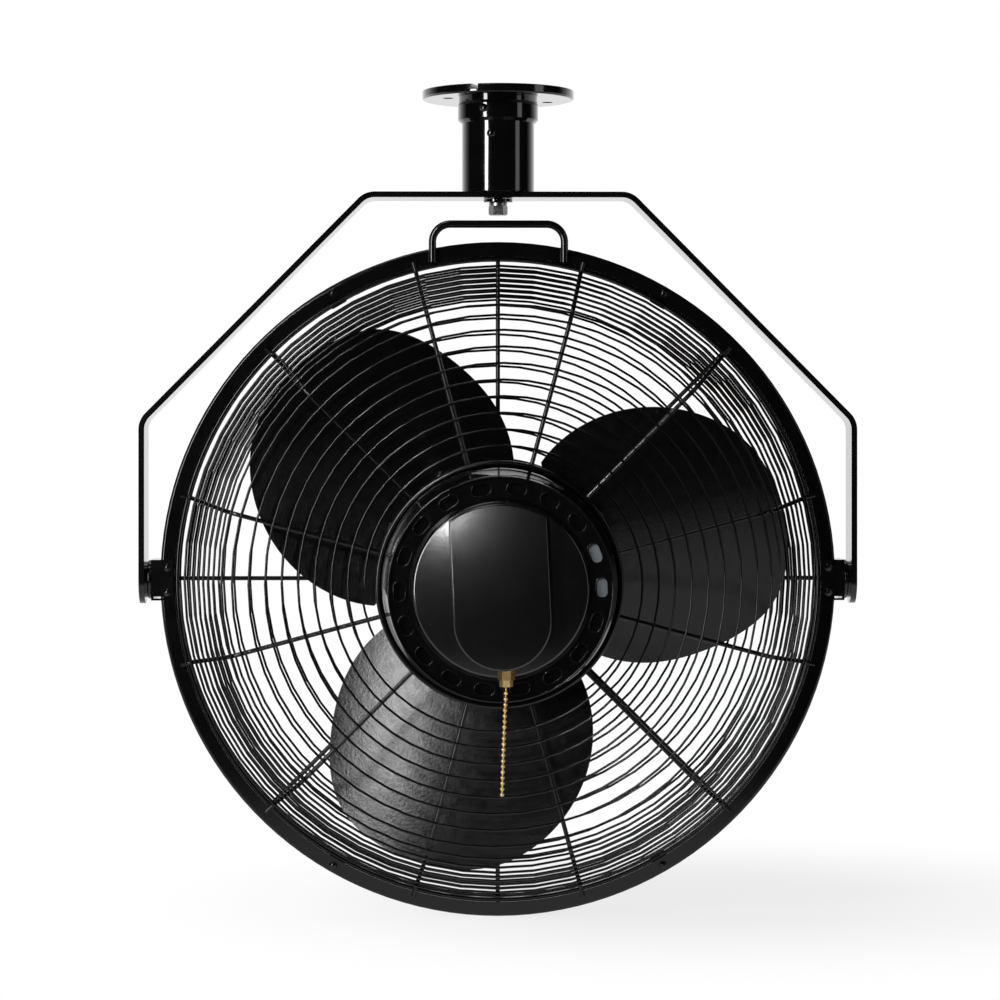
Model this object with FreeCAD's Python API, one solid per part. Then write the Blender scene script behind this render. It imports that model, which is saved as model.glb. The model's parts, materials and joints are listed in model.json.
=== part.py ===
import FreeCAD, Part
import math
import os

from FreeCAD import Placement, Rotation, Vector

# A ceiling fan head in a yoke, in millimetres. A round plate and a short neck hang from
# the ceiling, a bent flat-bar yoke swivels under the neck, and a hoop with two spiral wire
# guards, a motor and a rotor of pressed blades tilts between the yoke's legs.
# The origin is the centre of the plate's top face. +Z is up and the motor looks along -Y.
# The head is drawn level about its own pivot, with the fan's axis along Y, and is then
# set at its resting tilt and lowered to the yoke's pivot.

# Shared clearances
SEAT = 0.02             # between pieces that are welded, pressed or screwed together
RUN = 0.08              # radial, between a turning pin and its hole
FREE = 0.3              # between pieces that move past each other

# Ceiling plate
PLATE_D = 120.0
PLATE_T = 7.0
PLATE_EDGE_R = 1.6
PLATE_HOLE_D = 8.5
PLATE_HOLE_CIRCLE = 84.0
PLATE_HOLE_COUNT = 4
PLATE_HOLE_TURN = 20.0
NOTCH_W = 5.5           # groove for the lead, from the rim inwards
NOTCH_DEPTH = 4.5
NOTCH_LENGTH = 42.0
NOTCH_TURN = -18.6

# Neck under the plate
TUBE_D = 57.2
TUBE_WALL = 3.0
TUBE_END = 80.4         # bottom of the tube below the ceiling
COLLAR_WALL = 3.2
COLLAR_H = 18.5
COLLAR_CHAMFER = 2.4
COLLAR_GROOVE = 0.8
PLUG_H = 14.0
NECK_SCREW_HEAD_D = 6.6
NECK_SCREW_HEAD_H = 1.8
NECK_SCREW_D = 4.0
COLLAR_SCREW_DROP = 16.0
COLLAR_SCREW_TURN = -21.6
TUBE_SCREW_DROP = 35.7
TUBE_SCREW_TURN = -12.2

# Swivel bolt under the yoke
BOLT_D = 8.0
BOLT_HEAD_AF = 13.0
BOLT_HEAD_H = 7.0
BOLT_LENGTH = 27.0
WASHER_D = 23.0
WASHER_T = 2.5
LOCK_WASHER_D = 14.5
LOCK_WASHER_T = 3.0
LOCK_WASHER_SLIT = 1.4

# Yoke
PIVOT_DROP = 385.8      # tilt pivot below the ceiling
YOKE_W = 38.0
YOKE_T = 4.5
YOKE_BEND_R = 16.0
YOKE_TOP_HALF = 103.9   # from the middle of the bar to its upper bend
YOKE_LEG_H = 124.7      # from the pivot to the lower bend

# Tilt pivots
TILT_PIN_D = 8.0
TILT_HEAD_D = 16.0
TILT_WASHER_D = 31.0
TILT_WASHER_T = 4.6
TILT_WASHER_LIP = 2.0
TILT_NUT_AF = 13.0
TILT_NUT_T = 4.0
BRACKET_STANDOFF = 5.0
BRACKET_T = 2.0
BRACKET_SHEET = 1.6
BRACKET_H = 32.0
BRACKET_W = 28.0
BRACKET_SLOT = 1.5      # daylight between the front sheet and the lower flange
BRACKET_EAR = 10.5      # lap of the front sheet over the hoop's flange
BRACKET_RIVET_PITCH = 19.6
RIVET_D = 4.0
RIVET_HEAD_D = 6.4
RIVET_HEAD_H = 2.0
REST_TILT = 1.25        # motor side low

# Hoop
HOOP_D = 532.0
HOOP_DEPTH = 24.0
HOOP_SHEET = 1.5
HOOP_FLANGE = 11.5
HOOP_EDGE_R = 2.5

# Carrying handle
HANDLE_ROD_D = 6.0
HANDLE_W = 109.6        # over the rod
HANDLE_TOP = 282.7      # top of the rod above the pivot
HANDLE_FOOT = 250.0
HANDLE_BEND_R = 14.0

# Wire guards
SPIRAL_WIRE_D = 2.0
SPIRAL_WIRE_SIDES = 6   # the wire is drawn with this many flats
SPOKE_D = 3.5
GUARD_RING_D = 4.0
RIM_RING_D = 3.0
GUARD_RISE = 65.5       # front face of the motor-side guard ahead of the hoop
EYE_RING_INSET = 2.0    # middle of the inner rings inside the dish's edge
GUARD_PITCH = 12.7      # between turns on the flat face
FRONT_SPOKES = 12
FRONT_SPOKE_TURN = 15.0
FRONT_SHOULDER_R = 215.0
FRONT_SHOULDER_BEND = 17.2
FRONT_FOOT_BEND = 5.0
FRONT_FOOT_RUN = 5.0    # spoke foot inside the hoop's flange
FRONT_FOOT_LAP = 4.0    # spoke foot lying on the hoop's flange
FRONT_START_GAP = 10.1  # first turn outside the middle of the inner ring
FRONT_SIDE_PITCH = 8.5
REAR_SPOKES = 8
REAR_START_GAP = 9.2
REAR_DENSE_R = 216.05   # where the rear turns close up
REAR_DENSE_PITCH = 4.1
REAR_DENSE_TURNS = 8
REAR_SPOKE_LAP = 4.5
SPOKE_EYE_LAP = 2.0     # spoke ends inside the middle of the inner rings
REAR_CAP_T = 1.2
REAR_CAP_SETBACK = 8.0  # cap's wall inside the spokes' ends
REAR_CAP_STEP = 5.7
REAR_CAP_CROWN = 9.2
REAR_CAP_TAPER = 2.0
REAR_CAP_OUTER_BEND = 3.0
REAR_CAP_INNER_BEND = 2.0
CLIP_W = 13.0
CLIP_T = 1.5
CLIP_REACH = 2.0        # tongue of a clip inside the rim ring
CLIP_INSET = 0.5        # its pad outside the flange's inner edge
GUARD_SCREW_R = 260.3
GUARD_SCREW_TAIL = 1.5
GUARD_SCREW_TURN = 60.0

# Motor
DISH_D = 191.0
DISH_CUP_R = 89.5
DISH_SHEET = 1.5
DISH_RISE = 15.0        # cup ahead of the dish's flange
MOTOR_D = 166.0
MOTOR_DEPTH = 46.0
MOTOR_WALL = 1.5
RIM_FLARE = 2.0
RIM_LIP = 3.5
VENT_COUNT = 18
VENT_TURN = 1.0
VENT_R = 76.0
VENT_LENGTH = 15.0
VENT_W = 8.6
VENT_EYE_R = 62.0
BELL_T = 2.0
BELL_SETBACK = 5.0
BELL_HOLES = 6
BELL_HOLE_D = 28.0
BELL_HOLE_R = 42.0
COVER_BASE_R = 68.9
COVER_SHOULDER_R = 65.7
COVER_SIDE = 6.5
COVER_CROWN = 5.5
COVER_WALL = 2.0
COVER_EDGE_R = 2.5
BOX_W = 73.2            # switch box on the cover
BOX_ARC_DROP = 23.5     # centre of the box's round lower end below the axis
BOX_TOP_R = 64.6        # its upper end follows the cover's rim
BOX_RISE = 11.6         # ahead of the cover's crown
BOX_CROWN = 4.5         # its domed front, middle ahead of the upper end
BOX_WALL = 2.0
BOX_EDGE_R = 1.6
WINDOW_INSET = 6.0      # wiring window in the cover, inside the box's wall
MOTOR_ROLL = 2.6        # the cover's own turn about the axis
SHAFT_D = 12.0
BEARING_D = 32.0
BEARING_W = 10.0
BEARING_BOSS_WALL = 4.0
STACK_H = 20.0
STACK_SETBACK = 6.0     # dish to the rear of the stator stack
STATOR_R = 70.0
ROTOR_R = 34.6
AIR_GAP = 0.4
COIL_INNER_R = 40.0
COIL_OUTER_R = 57.0
COIL_H = 5.0
STATOR_BOLT_D = 5.0
STATOR_BOLT_R = 64.0
STATOR_BOLT_HEAD_D = 9.0
STATOR_BOLT_HEAD_H = 3.0
CAPACITOR_SIZE = (40.0, 12.0, 24.0)
CAPACITOR_LIFT = 12.0
GLAND_D = 10.0
GLAND_BORE = 5.5
GLAND_PROUD = 3.0
GLAND_TURN = 60.0
GLAND_SETBACK = 14.0

# Pull switch and chain
SOCKET_X = 4.0
SOCKET_SET_IN = 9.5     # socket axis behind the box's front
SOCKET_AC = 12.8        # hexagons across their corners
SOCKET_H = 6.6          # below the box
SOCKET_NECK_D = 7.0
SOCKET_NECK_H = 6.0
CHAIN_NUT_AC = 10.0
CHAIN_NUT_H = 5.2
SWITCH_SIZE = (18.0, 9.0, 16.0)
SWITCH_SET_IN = 4.0     # socket axis inside the switch's front face
PLUNGER_D = 3.0
PLUNGER_L = 14.0
PLUNGER_BORE = 3.8
PLUNGER_HIDE = 0.6
CHAIN_D = 3.2
CHAIN_L = 82.0          # below the nut

# Rotor
BLADE_COUNT = 3
BLADE_TURN = 16.0
BLADE_T = 1.6
BLADE_PITCH = -13.0     # the edge at +Z is nearer the motor
BLADE_CAMBER_R = 600.0
BLADE_PLANE = -30.0     # middle of the blades along the axis
BLADE_TRAIL = ((55.0, -75.0), (95.0, -96.5), (140.0, -100.0), (205.0, -76.5))     # out, across
BLADE_TIP = (229.0, -12.0)
BLADE_LEAD = ((213.0, 56.0), (150.0, 99.0), (100.0, 100.5), (57.0, 80.5))
BLADE_RIVET_R = 88.4
BLADE_RIVET_HALF = 28.7
BLADE_RIVET_D = 5.0
BLADE_RIVET_HEAD_D = 9.5
BLADE_RIVET_HEAD_H = 2.2
ARM_T = 2.5
ARM_REACH = 108.0
ARM_ROOT_HALF = 20.0
ARM_END_HALF = 39.0
ARM_CORNER_R = 12.0
HUB_D = 68.0
HUB_T = 15.0
BOSS_D = 36.0
BOSS_L = 40.0
HUB_SCREW_D = 6.0

# Places that follow from the sizes above
TUBE_R = TUBE_D / 2
COLLAR_R = TUBE_R + COLLAR_WALL
YOKE_TOP = -TUBE_END - FREE
YOKE_MID = YOKE_TOP - YOKE_T / 2
WASHER_TOP = YOKE_TOP - YOKE_T - FREE
HOOP_R = HOOP_D / 2
HOOP_HALF = HOOP_DEPTH / 2
FLANGE_R = HOOP_R - HOOP_FLANGE
BRACKET_IN = HOOP_R + BRACKET_STANDOFF
BRACKET_OUT = BRACKET_IN + BRACKET_T
TILT_WASHER_IN = BRACKET_OUT + FREE
LEG_IN = TILT_WASHER_IN + TILT_WASHER_T
LEG_MID = LEG_IN + YOKE_T / 2
LEG_OUT = LEG_IN + YOKE_T
GUARD_EYE_R = DISH_D / 2 - EYE_RING_INSET
SPOKE_INNER_R = GUARD_EYE_R - SPOKE_EYE_LAP
FRONT_START_R = GUARD_EYE_R + FRONT_START_GAP
REAR_START_R = GUARD_EYE_R + REAR_START_GAP
WIRE_STEP = (SPIRAL_WIRE_D + SPOKE_D) / 2 + SEAT
FRONT_FACE_Y = -HOOP_HALF - GUARD_RISE
FRONT_SPOKE_Y = FRONT_FACE_Y + WIRE_STEP
FRONT_FOOT_Y = -HOOP_HALF - SPOKE_D / 2 - SEAT
REAR_SPOKE_Y = HOOP_HALF + SPOKE_D / 2 + SEAT
DISH_Y = FRONT_SPOKE_Y + SPOKE_D / 2 + SEAT
SEAT_Y = DISH_Y - DISH_RISE
SHELL_FRONT = SEAT_Y - SEAT - MOTOR_DEPTH
SHELL_R = MOTOR_D / 2
BELL_FRONT = SHELL_FRONT + BELL_SETBACK
STACK_REAR = SEAT_Y - STACK_SETBACK
STACK_FRONT = STACK_REAR - STACK_H
COVER_BASE_Y = SHELL_FRONT - SEAT
COVER_SHOULDER_Y = COVER_BASE_Y - COVER_SIDE
COVER_CROWN_Y = COVER_SHOULDER_Y - COVER_CROWN
COVER_DOME_R = (COVER_SHOULDER_R ** 2 + COVER_CROWN ** 2) / (2 * COVER_CROWN)
BOX_FRONT = COVER_CROWN_Y - BOX_RISE
BOX_DOME_R = (BOX_TOP_R ** 2 + BOX_CROWN ** 2) / (2 * BOX_CROWN)
BOX_BOTTOM = -BOX_ARC_DROP - BOX_W / 2
SOCKET_Y = BOX_FRONT + SOCKET_SET_IN
SOCKET_BOTTOM = BOX_BOTTOM - SOCKET_H
CHAIN_NUT_BOTTOM = SOCKET_BOTTOM - SEAT - CHAIN_NUT_H
CHAIN_TOP = CHAIN_NUT_BOTTOM + PLUNGER_HIDE
SHAFT_R = SHAFT_D / 2
BOSS_REAR = BLADE_PLANE + BOSS_L / 2
ORIGIN = Vector(0, 0, 0)
ALONG_X = Vector(1, 0, 0)
ALONG_Y = Vector(0, 1, 0)
ALONG_Z = Vector(0, 0, 1)
HEAD = Placement(Vector(0, 0, -PIVOT_DROP), Rotation(ALONG_X, REST_TILT))


# Drawing helpers

def rounded_edges(points, radii, closed=False):
    """Straight runs through the points, with a tangent arc at each corner that has a radius."""
    count = len(points)
    starts, ends, arcs = list(points), list(points), [None] * count
    for i, radius in enumerate(radii):
        if radius <= 0 or (not closed and i in (0, count - 1)):
            continue
        corner = points[i]
        back = (points[i - 1] - corner).normalize()
        ahead = (points[(i + 1) % count] - corner).normalize()
        half = back.getAngle(ahead) / 2
        reach = radius / math.tan(half)
        starts[i] = corner + back * reach
        ends[i] = corner + ahead * reach
        middle = corner + (back + ahead).normalize() * (radius / math.sin(half) - radius)
        arcs[i] = Part.Arc(starts[i], middle, ends[i]).toShape()
    edges = []
    for i in range(count):
        if arcs[i]:
            edges.append(arcs[i])
        if i + 1 < count or closed:
            nxt = (i + 1) % count
            if (starts[nxt] - ends[i]).Length > 1e-6:
                edges.append(Part.LineSegment(ends[i], starts[nxt]).toShape())
    return edges


def rounded_wire(points, radii, closed=False):
    return Part.Wire(rounded_edges(points, radii, closed))


def turned(outline, radii=None, axis=ALONG_Y):
    """A solid of revolution from (radius, height) corners about the X, Y or Z axis."""
    lay = {0: lambda r, h: Vector(h, r, 0), 1: lambda r, h: Vector(r, h, 0),
           2: lambda r, h: Vector(r, 0, h)}[[axis.x, axis.y, axis.z].index(1)]
    points = [lay(r, h) for r, h in outline]
    face = Part.Face(rounded_wire(points, radii or [0] * len(points), True))
    return face.revolve(ORIGIN, axis, 360)


def rod(radius, start, end):
    return Part.makeCylinder(radius, (end - start).Length, start, end - start)


def block(low, high):
    return Part.makeBox(high.x - low.x, high.y - low.y, high.z - low.z, low)


def hexagon(across_corners, height, base, direction):
    """A hexagonal prism from its base centre along a direction."""
    start = Vector(across_corners / 2, 0, 0)
    corners = [Rotation(ALONG_Z, 60 * i).multVec(start) for i in range(7)]
    prism = Part.Face(Part.makePolygon(corners)).extrude(Vector(0, 0, height))
    prism.Placement = Placement(base, Rotation(ALONG_Z, direction))
    return prism


def bent_rod(path, radius, sides=0):
    """A round rod, or one with flats, swept along a wire from the wire's first point."""
    first = path.OrderedEdges[0]
    start = path.OrderedVertexes[0].Point
    at = first.FirstParameter
    if (first.valueAt(at) - start).Length > 1e-6:
        at = first.LastParameter
    tangent = first.tangentAt(at)
    ring = Part.Wire(Part.makeCircle(radius, start, tangent))
    if sides:
        corner = ALONG_Y * radius
        turns = [Rotation(tangent, 360.0 * i / sides) for i in range(sides + 1)]
        ring = Part.makePolygon([start + turn.multVec(corner) for turn in turns])
    return path.makePipeShell([ring], True, False)


def wire_ring(ring_r, wire_r, y):
    return Part.makeTorus(ring_r, wire_r, Vector(0, y, 0), ALONG_Y)


def spun(shape, degrees):
    """Turned about the fan's axis, anticlockwise as seen from the motor side."""
    copy = shape.copy()
    copy.rotate(ORIGIN, Vector(0, -1, 0), degrees)
    return copy


def around(shape, count, first=0.0):
    return [spun(shape, first + 360.0 * i / count) for i in range(count)]


def pair(shape):
    return [shape, shape.mirror(ORIGIN, ALONG_X)]


def drilled(shape, tools):
    for tool in tools:
        shape = shape.cut(tool)
    return shape


def domed_pin(shank_r, length, head_r, head_h):
    """A pin along +Y from a domed head that sits on y = 0."""
    dome = (head_r ** 2 + head_h ** 2) / (2 * head_h)
    slope = math.asin(head_r / dome) / 2
    middle = Vector(dome * math.sin(slope), dome - head_h - dome * math.cos(slope), 0)
    crown, rim = Vector(0, -head_h, 0), Vector(head_r, 0, 0)
    profile = [Part.Arc(crown, middle, rim).toShape()]
    corners = [rim, Vector(shank_r, 0, 0), Vector(shank_r, length, 0), Vector(0, length, 0), crown]
    profile += [Part.LineSegment(a, b).toShape() for a, b in zip(corners, corners[1:])]
    return Part.Face(Part.Wire(profile)).revolve(ORIGIN, ALONG_Y, 360)


def moved(shape, *offset):
    copy = shape.copy()
    copy.translate(Vector(*offset))
    return copy


def on_head(shape):
    copy = shape.copy()
    copy.Placement = HEAD.multiply(copy.Placement)
    return copy


def save(name, solids, head=False):
    """Write one node: a single solid, or a group of separate ones."""
    solids = solids if isinstance(solids, list) else [solids]
    solids = [on_head(solid) if head else solid for solid in solids]
    shape = solids[0] if len(solids) == 1 else Part.makeCompound(solids)
    shape.exportStep("parts/%s.step" % name)
    print("%-24s %2d solids %12.1f mm3 %s" % (
        name, len(shape.Solids), shape.Volume, "valid" if shape.isValid() else "NOT VALID"))


# Ceiling plate and neck

def ceiling_plate():
    radius = PLATE_D / 2
    plate = turned([(0, 0), (radius, 0), (radius, -PLATE_T), (0, -PLATE_T)],
                   [0, PLATE_EDGE_R / 2, PLATE_EDGE_R, 0], ALONG_Z)
    for i in range(PLATE_HOLE_COUNT):
        turn = math.radians(PLATE_HOLE_TURN + 360.0 * i / PLATE_HOLE_COUNT)
        x, y = (PLATE_HOLE_CIRCLE / 2 * f(turn) for f in (math.cos, math.sin))
        plate = plate.cut(rod(PLATE_HOLE_D / 2, Vector(x, y, -PLATE_T - 1), Vector(x, y, 1)))
    groove = block(Vector(-NOTCH_W / 2, -radius - 1, -NOTCH_DEPTH),
                   Vector(NOTCH_W / 2, -radius + NOTCH_LENGTH, 1))
    groove.rotate(ORIGIN, ALONG_Z, NOTCH_TURN)
    return plate.cut(groove)


def neck_screw(drop, turn, on_r):
    """A domed screw that points at the neck's axis from the motor side."""
    depth = COLLAR_WALL + TUBE_WALL if on_r > TUBE_R + SEAT else TUBE_WALL
    screw = domed_pin(NECK_SCREW_D / 2, depth, NECK_SCREW_HEAD_D / 2, NECK_SCREW_HEAD_H)
    screw.translate(Vector(0, -on_r - SEAT, -drop))
    screw.rotate(ORIGIN, ALONG_Z, turn)
    return screw


def neck_screws():
    return [neck_screw(COLLAR_SCREW_DROP, COLLAR_SCREW_TURN, COLLAR_R),
            neck_screw(TUBE_SCREW_DROP, TUBE_SCREW_TURN, TUBE_R)]


def neck_screw_holes(on_r):
    """Screw holes through the neck, with a flat under each head."""
    tools = []
    for drop, turn, outer in ((COLLAR_SCREW_DROP, COLLAR_SCREW_TURN, COLLAR_R),
                              (TUBE_SCREW_DROP, TUBE_SCREW_TURN, TUBE_R)):
        hole = rod(NECK_SCREW_D / 2 + SEAT, Vector(0, -outer - 1, -drop), Vector(0, 0, -drop))
        if abs(outer - on_r) < SEAT:
            sink = NECK_SCREW_HEAD_D / 2
            hole = hole.fuse(rod(sink + SEAT, Vector(0, -outer - sink, -drop), Vector(0, -outer, -drop)))
        hole.rotate(ORIGIN, ALONG_Z, turn)
        tools.append(hole)
    return tools


def mount_collar():
    inner, top = TUBE_R + SEAT, -PLATE_T
    waist = COLLAR_R - COLLAR_GROOVE
    ring = turned([(inner, top), (waist, top), (waist, top - COLLAR_CHAMFER),
                   (COLLAR_R, top - 2 * COLLAR_CHAMFER), (COLLAR_R, top - COLLAR_H + COLLAR_CHAMFER),
                   (COLLAR_R - COLLAR_CHAMFER, top - COLLAR_H), (inner, top - COLLAR_H)], None, ALONG_Z)
    return drilled(ring, neck_screw_holes(COLLAR_R)[:1])


def neck_tube():
    inner, top = TUBE_R - TUBE_WALL, -PLATE_T - SEAT
    tube = turned([(inner, top), (TUBE_R, top), (TUBE_R, -TUBE_END), (inner, -TUBE_END)], None, ALONG_Z)
    return drilled(tube, neck_screw_holes(TUBE_R))


def tube_plug():
    outer, bore = TUBE_R - TUBE_WALL - SEAT, BOLT_D / 2 + SEAT
    top = -TUBE_END + PLUG_H
    return turned([(bore, top), (outer, top), (outer, -TUBE_END), (bore, -TUBE_END)], None, ALONG_Z)


def ring_washer(bore_r, outer_r, top, thickness):
    edge = thickness / 6
    return turned([(bore_r, top), (outer_r, top), (outer_r, top - thickness), (bore_r, top - thickness)],
                  [0, edge, edge, 0], ALONG_Z)


def lock_washer():
    top = WASHER_TOP - WASHER_T - SEAT
    ring = ring_washer(BOLT_D / 2 + SEAT, LOCK_WASHER_D / 2, top, LOCK_WASHER_T)
    slit = block(Vector(0, -LOCK_WASHER_SLIT / 2, top - LOCK_WASHER_T - 1),
                 Vector(LOCK_WASHER_D, LOCK_WASHER_SLIT / 2, top + 1))
    return ring.cut(slit)


def swivel_bolt():
    under_head = WASHER_TOP - WASHER_T - LOCK_WASHER_T - 2 * SEAT
    low = under_head - BOLT_HEAD_H
    corners = BOLT_HEAD_AF / math.cos(math.pi / 6)
    head = hexagon(corners, BOLT_HEAD_H, Vector(0, 0, low), ALONG_Z)
    bevel = (corners - BOLT_HEAD_AF) / 2
    head = head.common(turned([(0, low), (BOLT_HEAD_AF / 2, low), (corners / 2, low + bevel),
                               (corners / 2, under_head), (0, under_head)], None, ALONG_Z))
    shank = rod(BOLT_D / 2, Vector(0, 0, under_head - 1), Vector(0, 0, under_head + BOLT_LENGTH))
    return head.fuse(shank).removeSplitter()


# Yoke and tilt pivots

def yoke_bar():
    foot, knee = -PIVOT_DROP, -PIVOT_DROP + YOKE_LEG_H
    corners = [(-LEG_MID, foot), (-LEG_MID, knee), (-YOKE_TOP_HALF, YOKE_MID),
               (YOKE_TOP_HALF, YOKE_MID), (LEG_MID, knee), (LEG_MID, foot)]
    path = rounded_wire([Vector(x, 0, z) for x, z in corners], [0] + [YOKE_BEND_R] * 4 + [0])
    x, y = YOKE_T / 2, YOKE_W / 2
    section = Part.makePolygon([Vector(-LEG_MID + sx * x, sy * y, foot)
                                for sx, sy in ((-1, -1), (1, -1), (1, 1), (-1, 1), (-1, -1))])
    bar = path.makePipeShell([section], True, False)
    for side in (-1, 1):
        inner, outer = side * LEG_IN, side * LEG_OUT
        bar = bar.fuse(rod(YOKE_W / 2, Vector(inner, 0, foot), Vector(outer, 0, foot)))
    bar = bar.removeSplitter()
    bar = bar.cut(rod(BOLT_D / 2 + RUN, Vector(0, 0, YOKE_TOP - YOKE_T - 1), Vector(0, 0, YOKE_TOP + 1)))
    return drilled(bar, [moved(tool, 0, 0, foot) for tool in pair(tilt_screw(SEAT))])


def tilt_screw(grow=0.0):
    """Countersunk pivot screw of the +X side, flush with the leg, about the X axis."""
    pin, head = TILT_PIN_D / 2 + grow, TILT_HEAD_D / 2 + grow
    tip = BRACKET_IN - FREE - TILT_NUT_T
    return turned([(0, tip), (pin, tip), (pin, LEG_OUT - (head - pin)), (head, LEG_OUT), (0, LEG_OUT)],
                  None, ALONG_X)


def tilt_washer():
    bore, outer, waist = TILT_PIN_D / 2 + SEAT, TILT_WASHER_D / 2, TILT_WASHER_D / 2 - 1.2
    lip = TILT_WASHER_IN + TILT_WASHER_LIP
    return turned([(bore, TILT_WASHER_IN), (outer, TILT_WASHER_IN), (outer, lip), (waist, lip + 1.0),
                   (waist, LEG_IN), (bore, LEG_IN)], [0, 0.5, 0.5, 0, 0, 0], ALONG_X)


def tilt_nut():
    corners = TILT_NUT_AF / math.cos(math.pi / 6)
    start = BRACKET_IN - FREE - TILT_NUT_T
    nut = hexagon(corners, TILT_NUT_T, Vector(start, 0, 0), ALONG_X)
    return nut.cut(rod(TILT_PIN_D / 2 + SEAT, Vector(start - 1, 0, 0), Vector(BRACKET_IN, 0, 0)))


def side_bracket():
    """Pressed box of the +X side: web, two flanges and a front sheet that laps the hoop."""
    half, front = BRACKET_H / 2, -HOOP_HALF - SEAT - BRACKET_SHEET
    rear = front + BRACKET_W
    body = block(Vector(BRACKET_IN, front, -half), Vector(BRACKET_OUT, rear, half))
    for low in (-half, half - BRACKET_SHEET):
        body = body.fuse(block(Vector(HOOP_R - 2, front, low), Vector(BRACKET_OUT, rear, low + BRACKET_SHEET)))
    body = body.cut(rod(HOOP_R + SEAT, Vector(0, -HOOP_HALF - SEAT, 0), Vector(0, rear + 1, 0)))
    sheet = block(Vector(FLANGE_R + HOOP_FLANGE - BRACKET_EAR, front, -half + BRACKET_SHEET + BRACKET_SLOT),
                  Vector(BRACKET_OUT, front + BRACKET_SHEET, half))
    body = body.fuse(sheet).removeSplitter()
    pin_hole = rod(TILT_PIN_D / 2 + RUN, Vector(BRACKET_IN - 1, 0, 0), Vector(BRACKET_OUT + 1, 0, 0))
    return drilled(body, [pin_hole] + bracket_rivets(SEAT))


def bracket_rivets(grow=0.0):
    """The two rivets of the +X bracket, through its ear and the hoop's front flange."""
    grip = BRACKET_SHEET + SEAT + HOOP_SHEET + 1.0
    y = -HOOP_HALF - SEAT - BRACKET_SHEET
    x = HOOP_R - HOOP_FLANGE / 2
    pins = []
    for side in (-1, 1):
        if grow:
            pin = rod(RIVET_D / 2 + grow, Vector(0, -1, 0), Vector(0, grip, 0))
        else:
            pin = domed_pin(RIVET_D / 2, grip, RIVET_HEAD_D / 2, RIVET_HEAD_H)
        pins.append(moved(pin, x, y, side * BRACKET_RIVET_PITCH / 2))
    return pins


# Hoop, handle and guard fixings

def guard_screw(side, grow=0.0):
    """A guard screw on +X, headed on the hoop's front (-1) or rear (+1) flange."""
    length = HOOP_SHEET + CLIP_T * 2 + SEAT + GUARD_SCREW_TAIL
    if grow:
        pin = rod(RIVET_D / 2 + grow, Vector(0, -1, 0), Vector(0, length + 1, 0))
    else:
        pin = domed_pin(RIVET_D / 2, length, RIVET_HEAD_D / 2, RIVET_HEAD_H)
    if side > 0:
        pin.rotate(ORIGIN, ALONG_X, 180)
    return moved(pin, GUARD_SCREW_R, side * HOOP_HALF, 0)


def guard_screw_set(side, grow=0.0):
    pin = guard_screw(side, grow)
    return [spun(pin, turn) for k in (1, -1) for turn in (k * GUARD_SCREW_TURN, 180 - k * GUARD_SCREW_TURN)]


def guard_clip():
    """A stepped tongue on +X behind the front flange, which holds the guard's rim ring."""
    pad_y = -HOOP_HALF + HOOP_SHEET + SEAT
    rim_back = rim_ring_y(-1) + RIM_RING_D / 2 + SEAT
    tongue = rim_back + CLIP_T
    outer = HOOP_R - HOOP_SHEET - HOOP_EDGE_R
    inner = FLANGE_R - RIM_RING_D - CLIP_REACH
    half = CLIP_W / 2
    clip = block(Vector(FLANGE_R + CLIP_INSET, pad_y, -half), Vector(outer, tongue, half))
    clip = clip.fuse(block(Vector(inner, rim_back, -half), Vector(outer, tongue, half))).removeSplitter()
    return clip.cut(guard_screw(-1, SEAT))


def hoop():
    inner = HOOP_R - HOOP_SHEET
    lip = HOOP_HALF - HOOP_SHEET
    ring = turned([(HOOP_R, -HOOP_HALF), (HOOP_R, HOOP_HALF), (FLANGE_R, HOOP_HALF), (FLANGE_R, lip),
                   (inner, lip), (inner, -lip), (FLANGE_R, -lip), (FLANGE_R, -HOOP_HALF)],
                  [HOOP_EDGE_R, HOOP_EDGE_R, 0, 0, HOOP_EDGE_R - HOOP_SHEET, HOOP_EDGE_R - HOOP_SHEET, 0, 0])
    rivets = [hole for pin in bracket_rivets(SEAT) for hole in pair(pin)]
    return drilled(ring, rivets + guard_screw_set(-1, SEAT) + guard_screw_set(1, SEAT))


def carry_handle():
    x = (HANDLE_W - HANDLE_ROD_D) / 2
    top = HANDLE_TOP - HANDLE_ROD_D / 2
    y = -HOOP_HALF - SEAT - HANDLE_ROD_D / 2
    points = [Vector(-x, y, HANDLE_FOOT), Vector(-x, y, top), Vector(x, y, top), Vector(x, y, HANDLE_FOOT)]
    return bent_rod(rounded_wire(points, [0, HANDLE_BEND_R, HANDLE_BEND_R, 0]), HANDLE_ROD_D / 2)


# Wire guards

def front_corners():
    """The bends of a front spoke's centre line, as (radius, y)."""
    foot_r = FLANGE_R - FRONT_FOOT_RUN
    return ((SPOKE_INNER_R, FRONT_SPOKE_Y), (FRONT_SHOULDER_R, FRONT_SPOKE_Y),
            (foot_r, FRONT_FOOT_Y), (FLANGE_R + FRONT_FOOT_LAP, FRONT_FOOT_Y))


def front_spoke():
    points = [Vector(r, y, 0) for r, y in front_corners()]
    path = rounded_wire(points, [0, FRONT_SHOULDER_BEND, FRONT_FOOT_BEND, 0])
    return bent_rod(path, SPOKE_D / 2)


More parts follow.
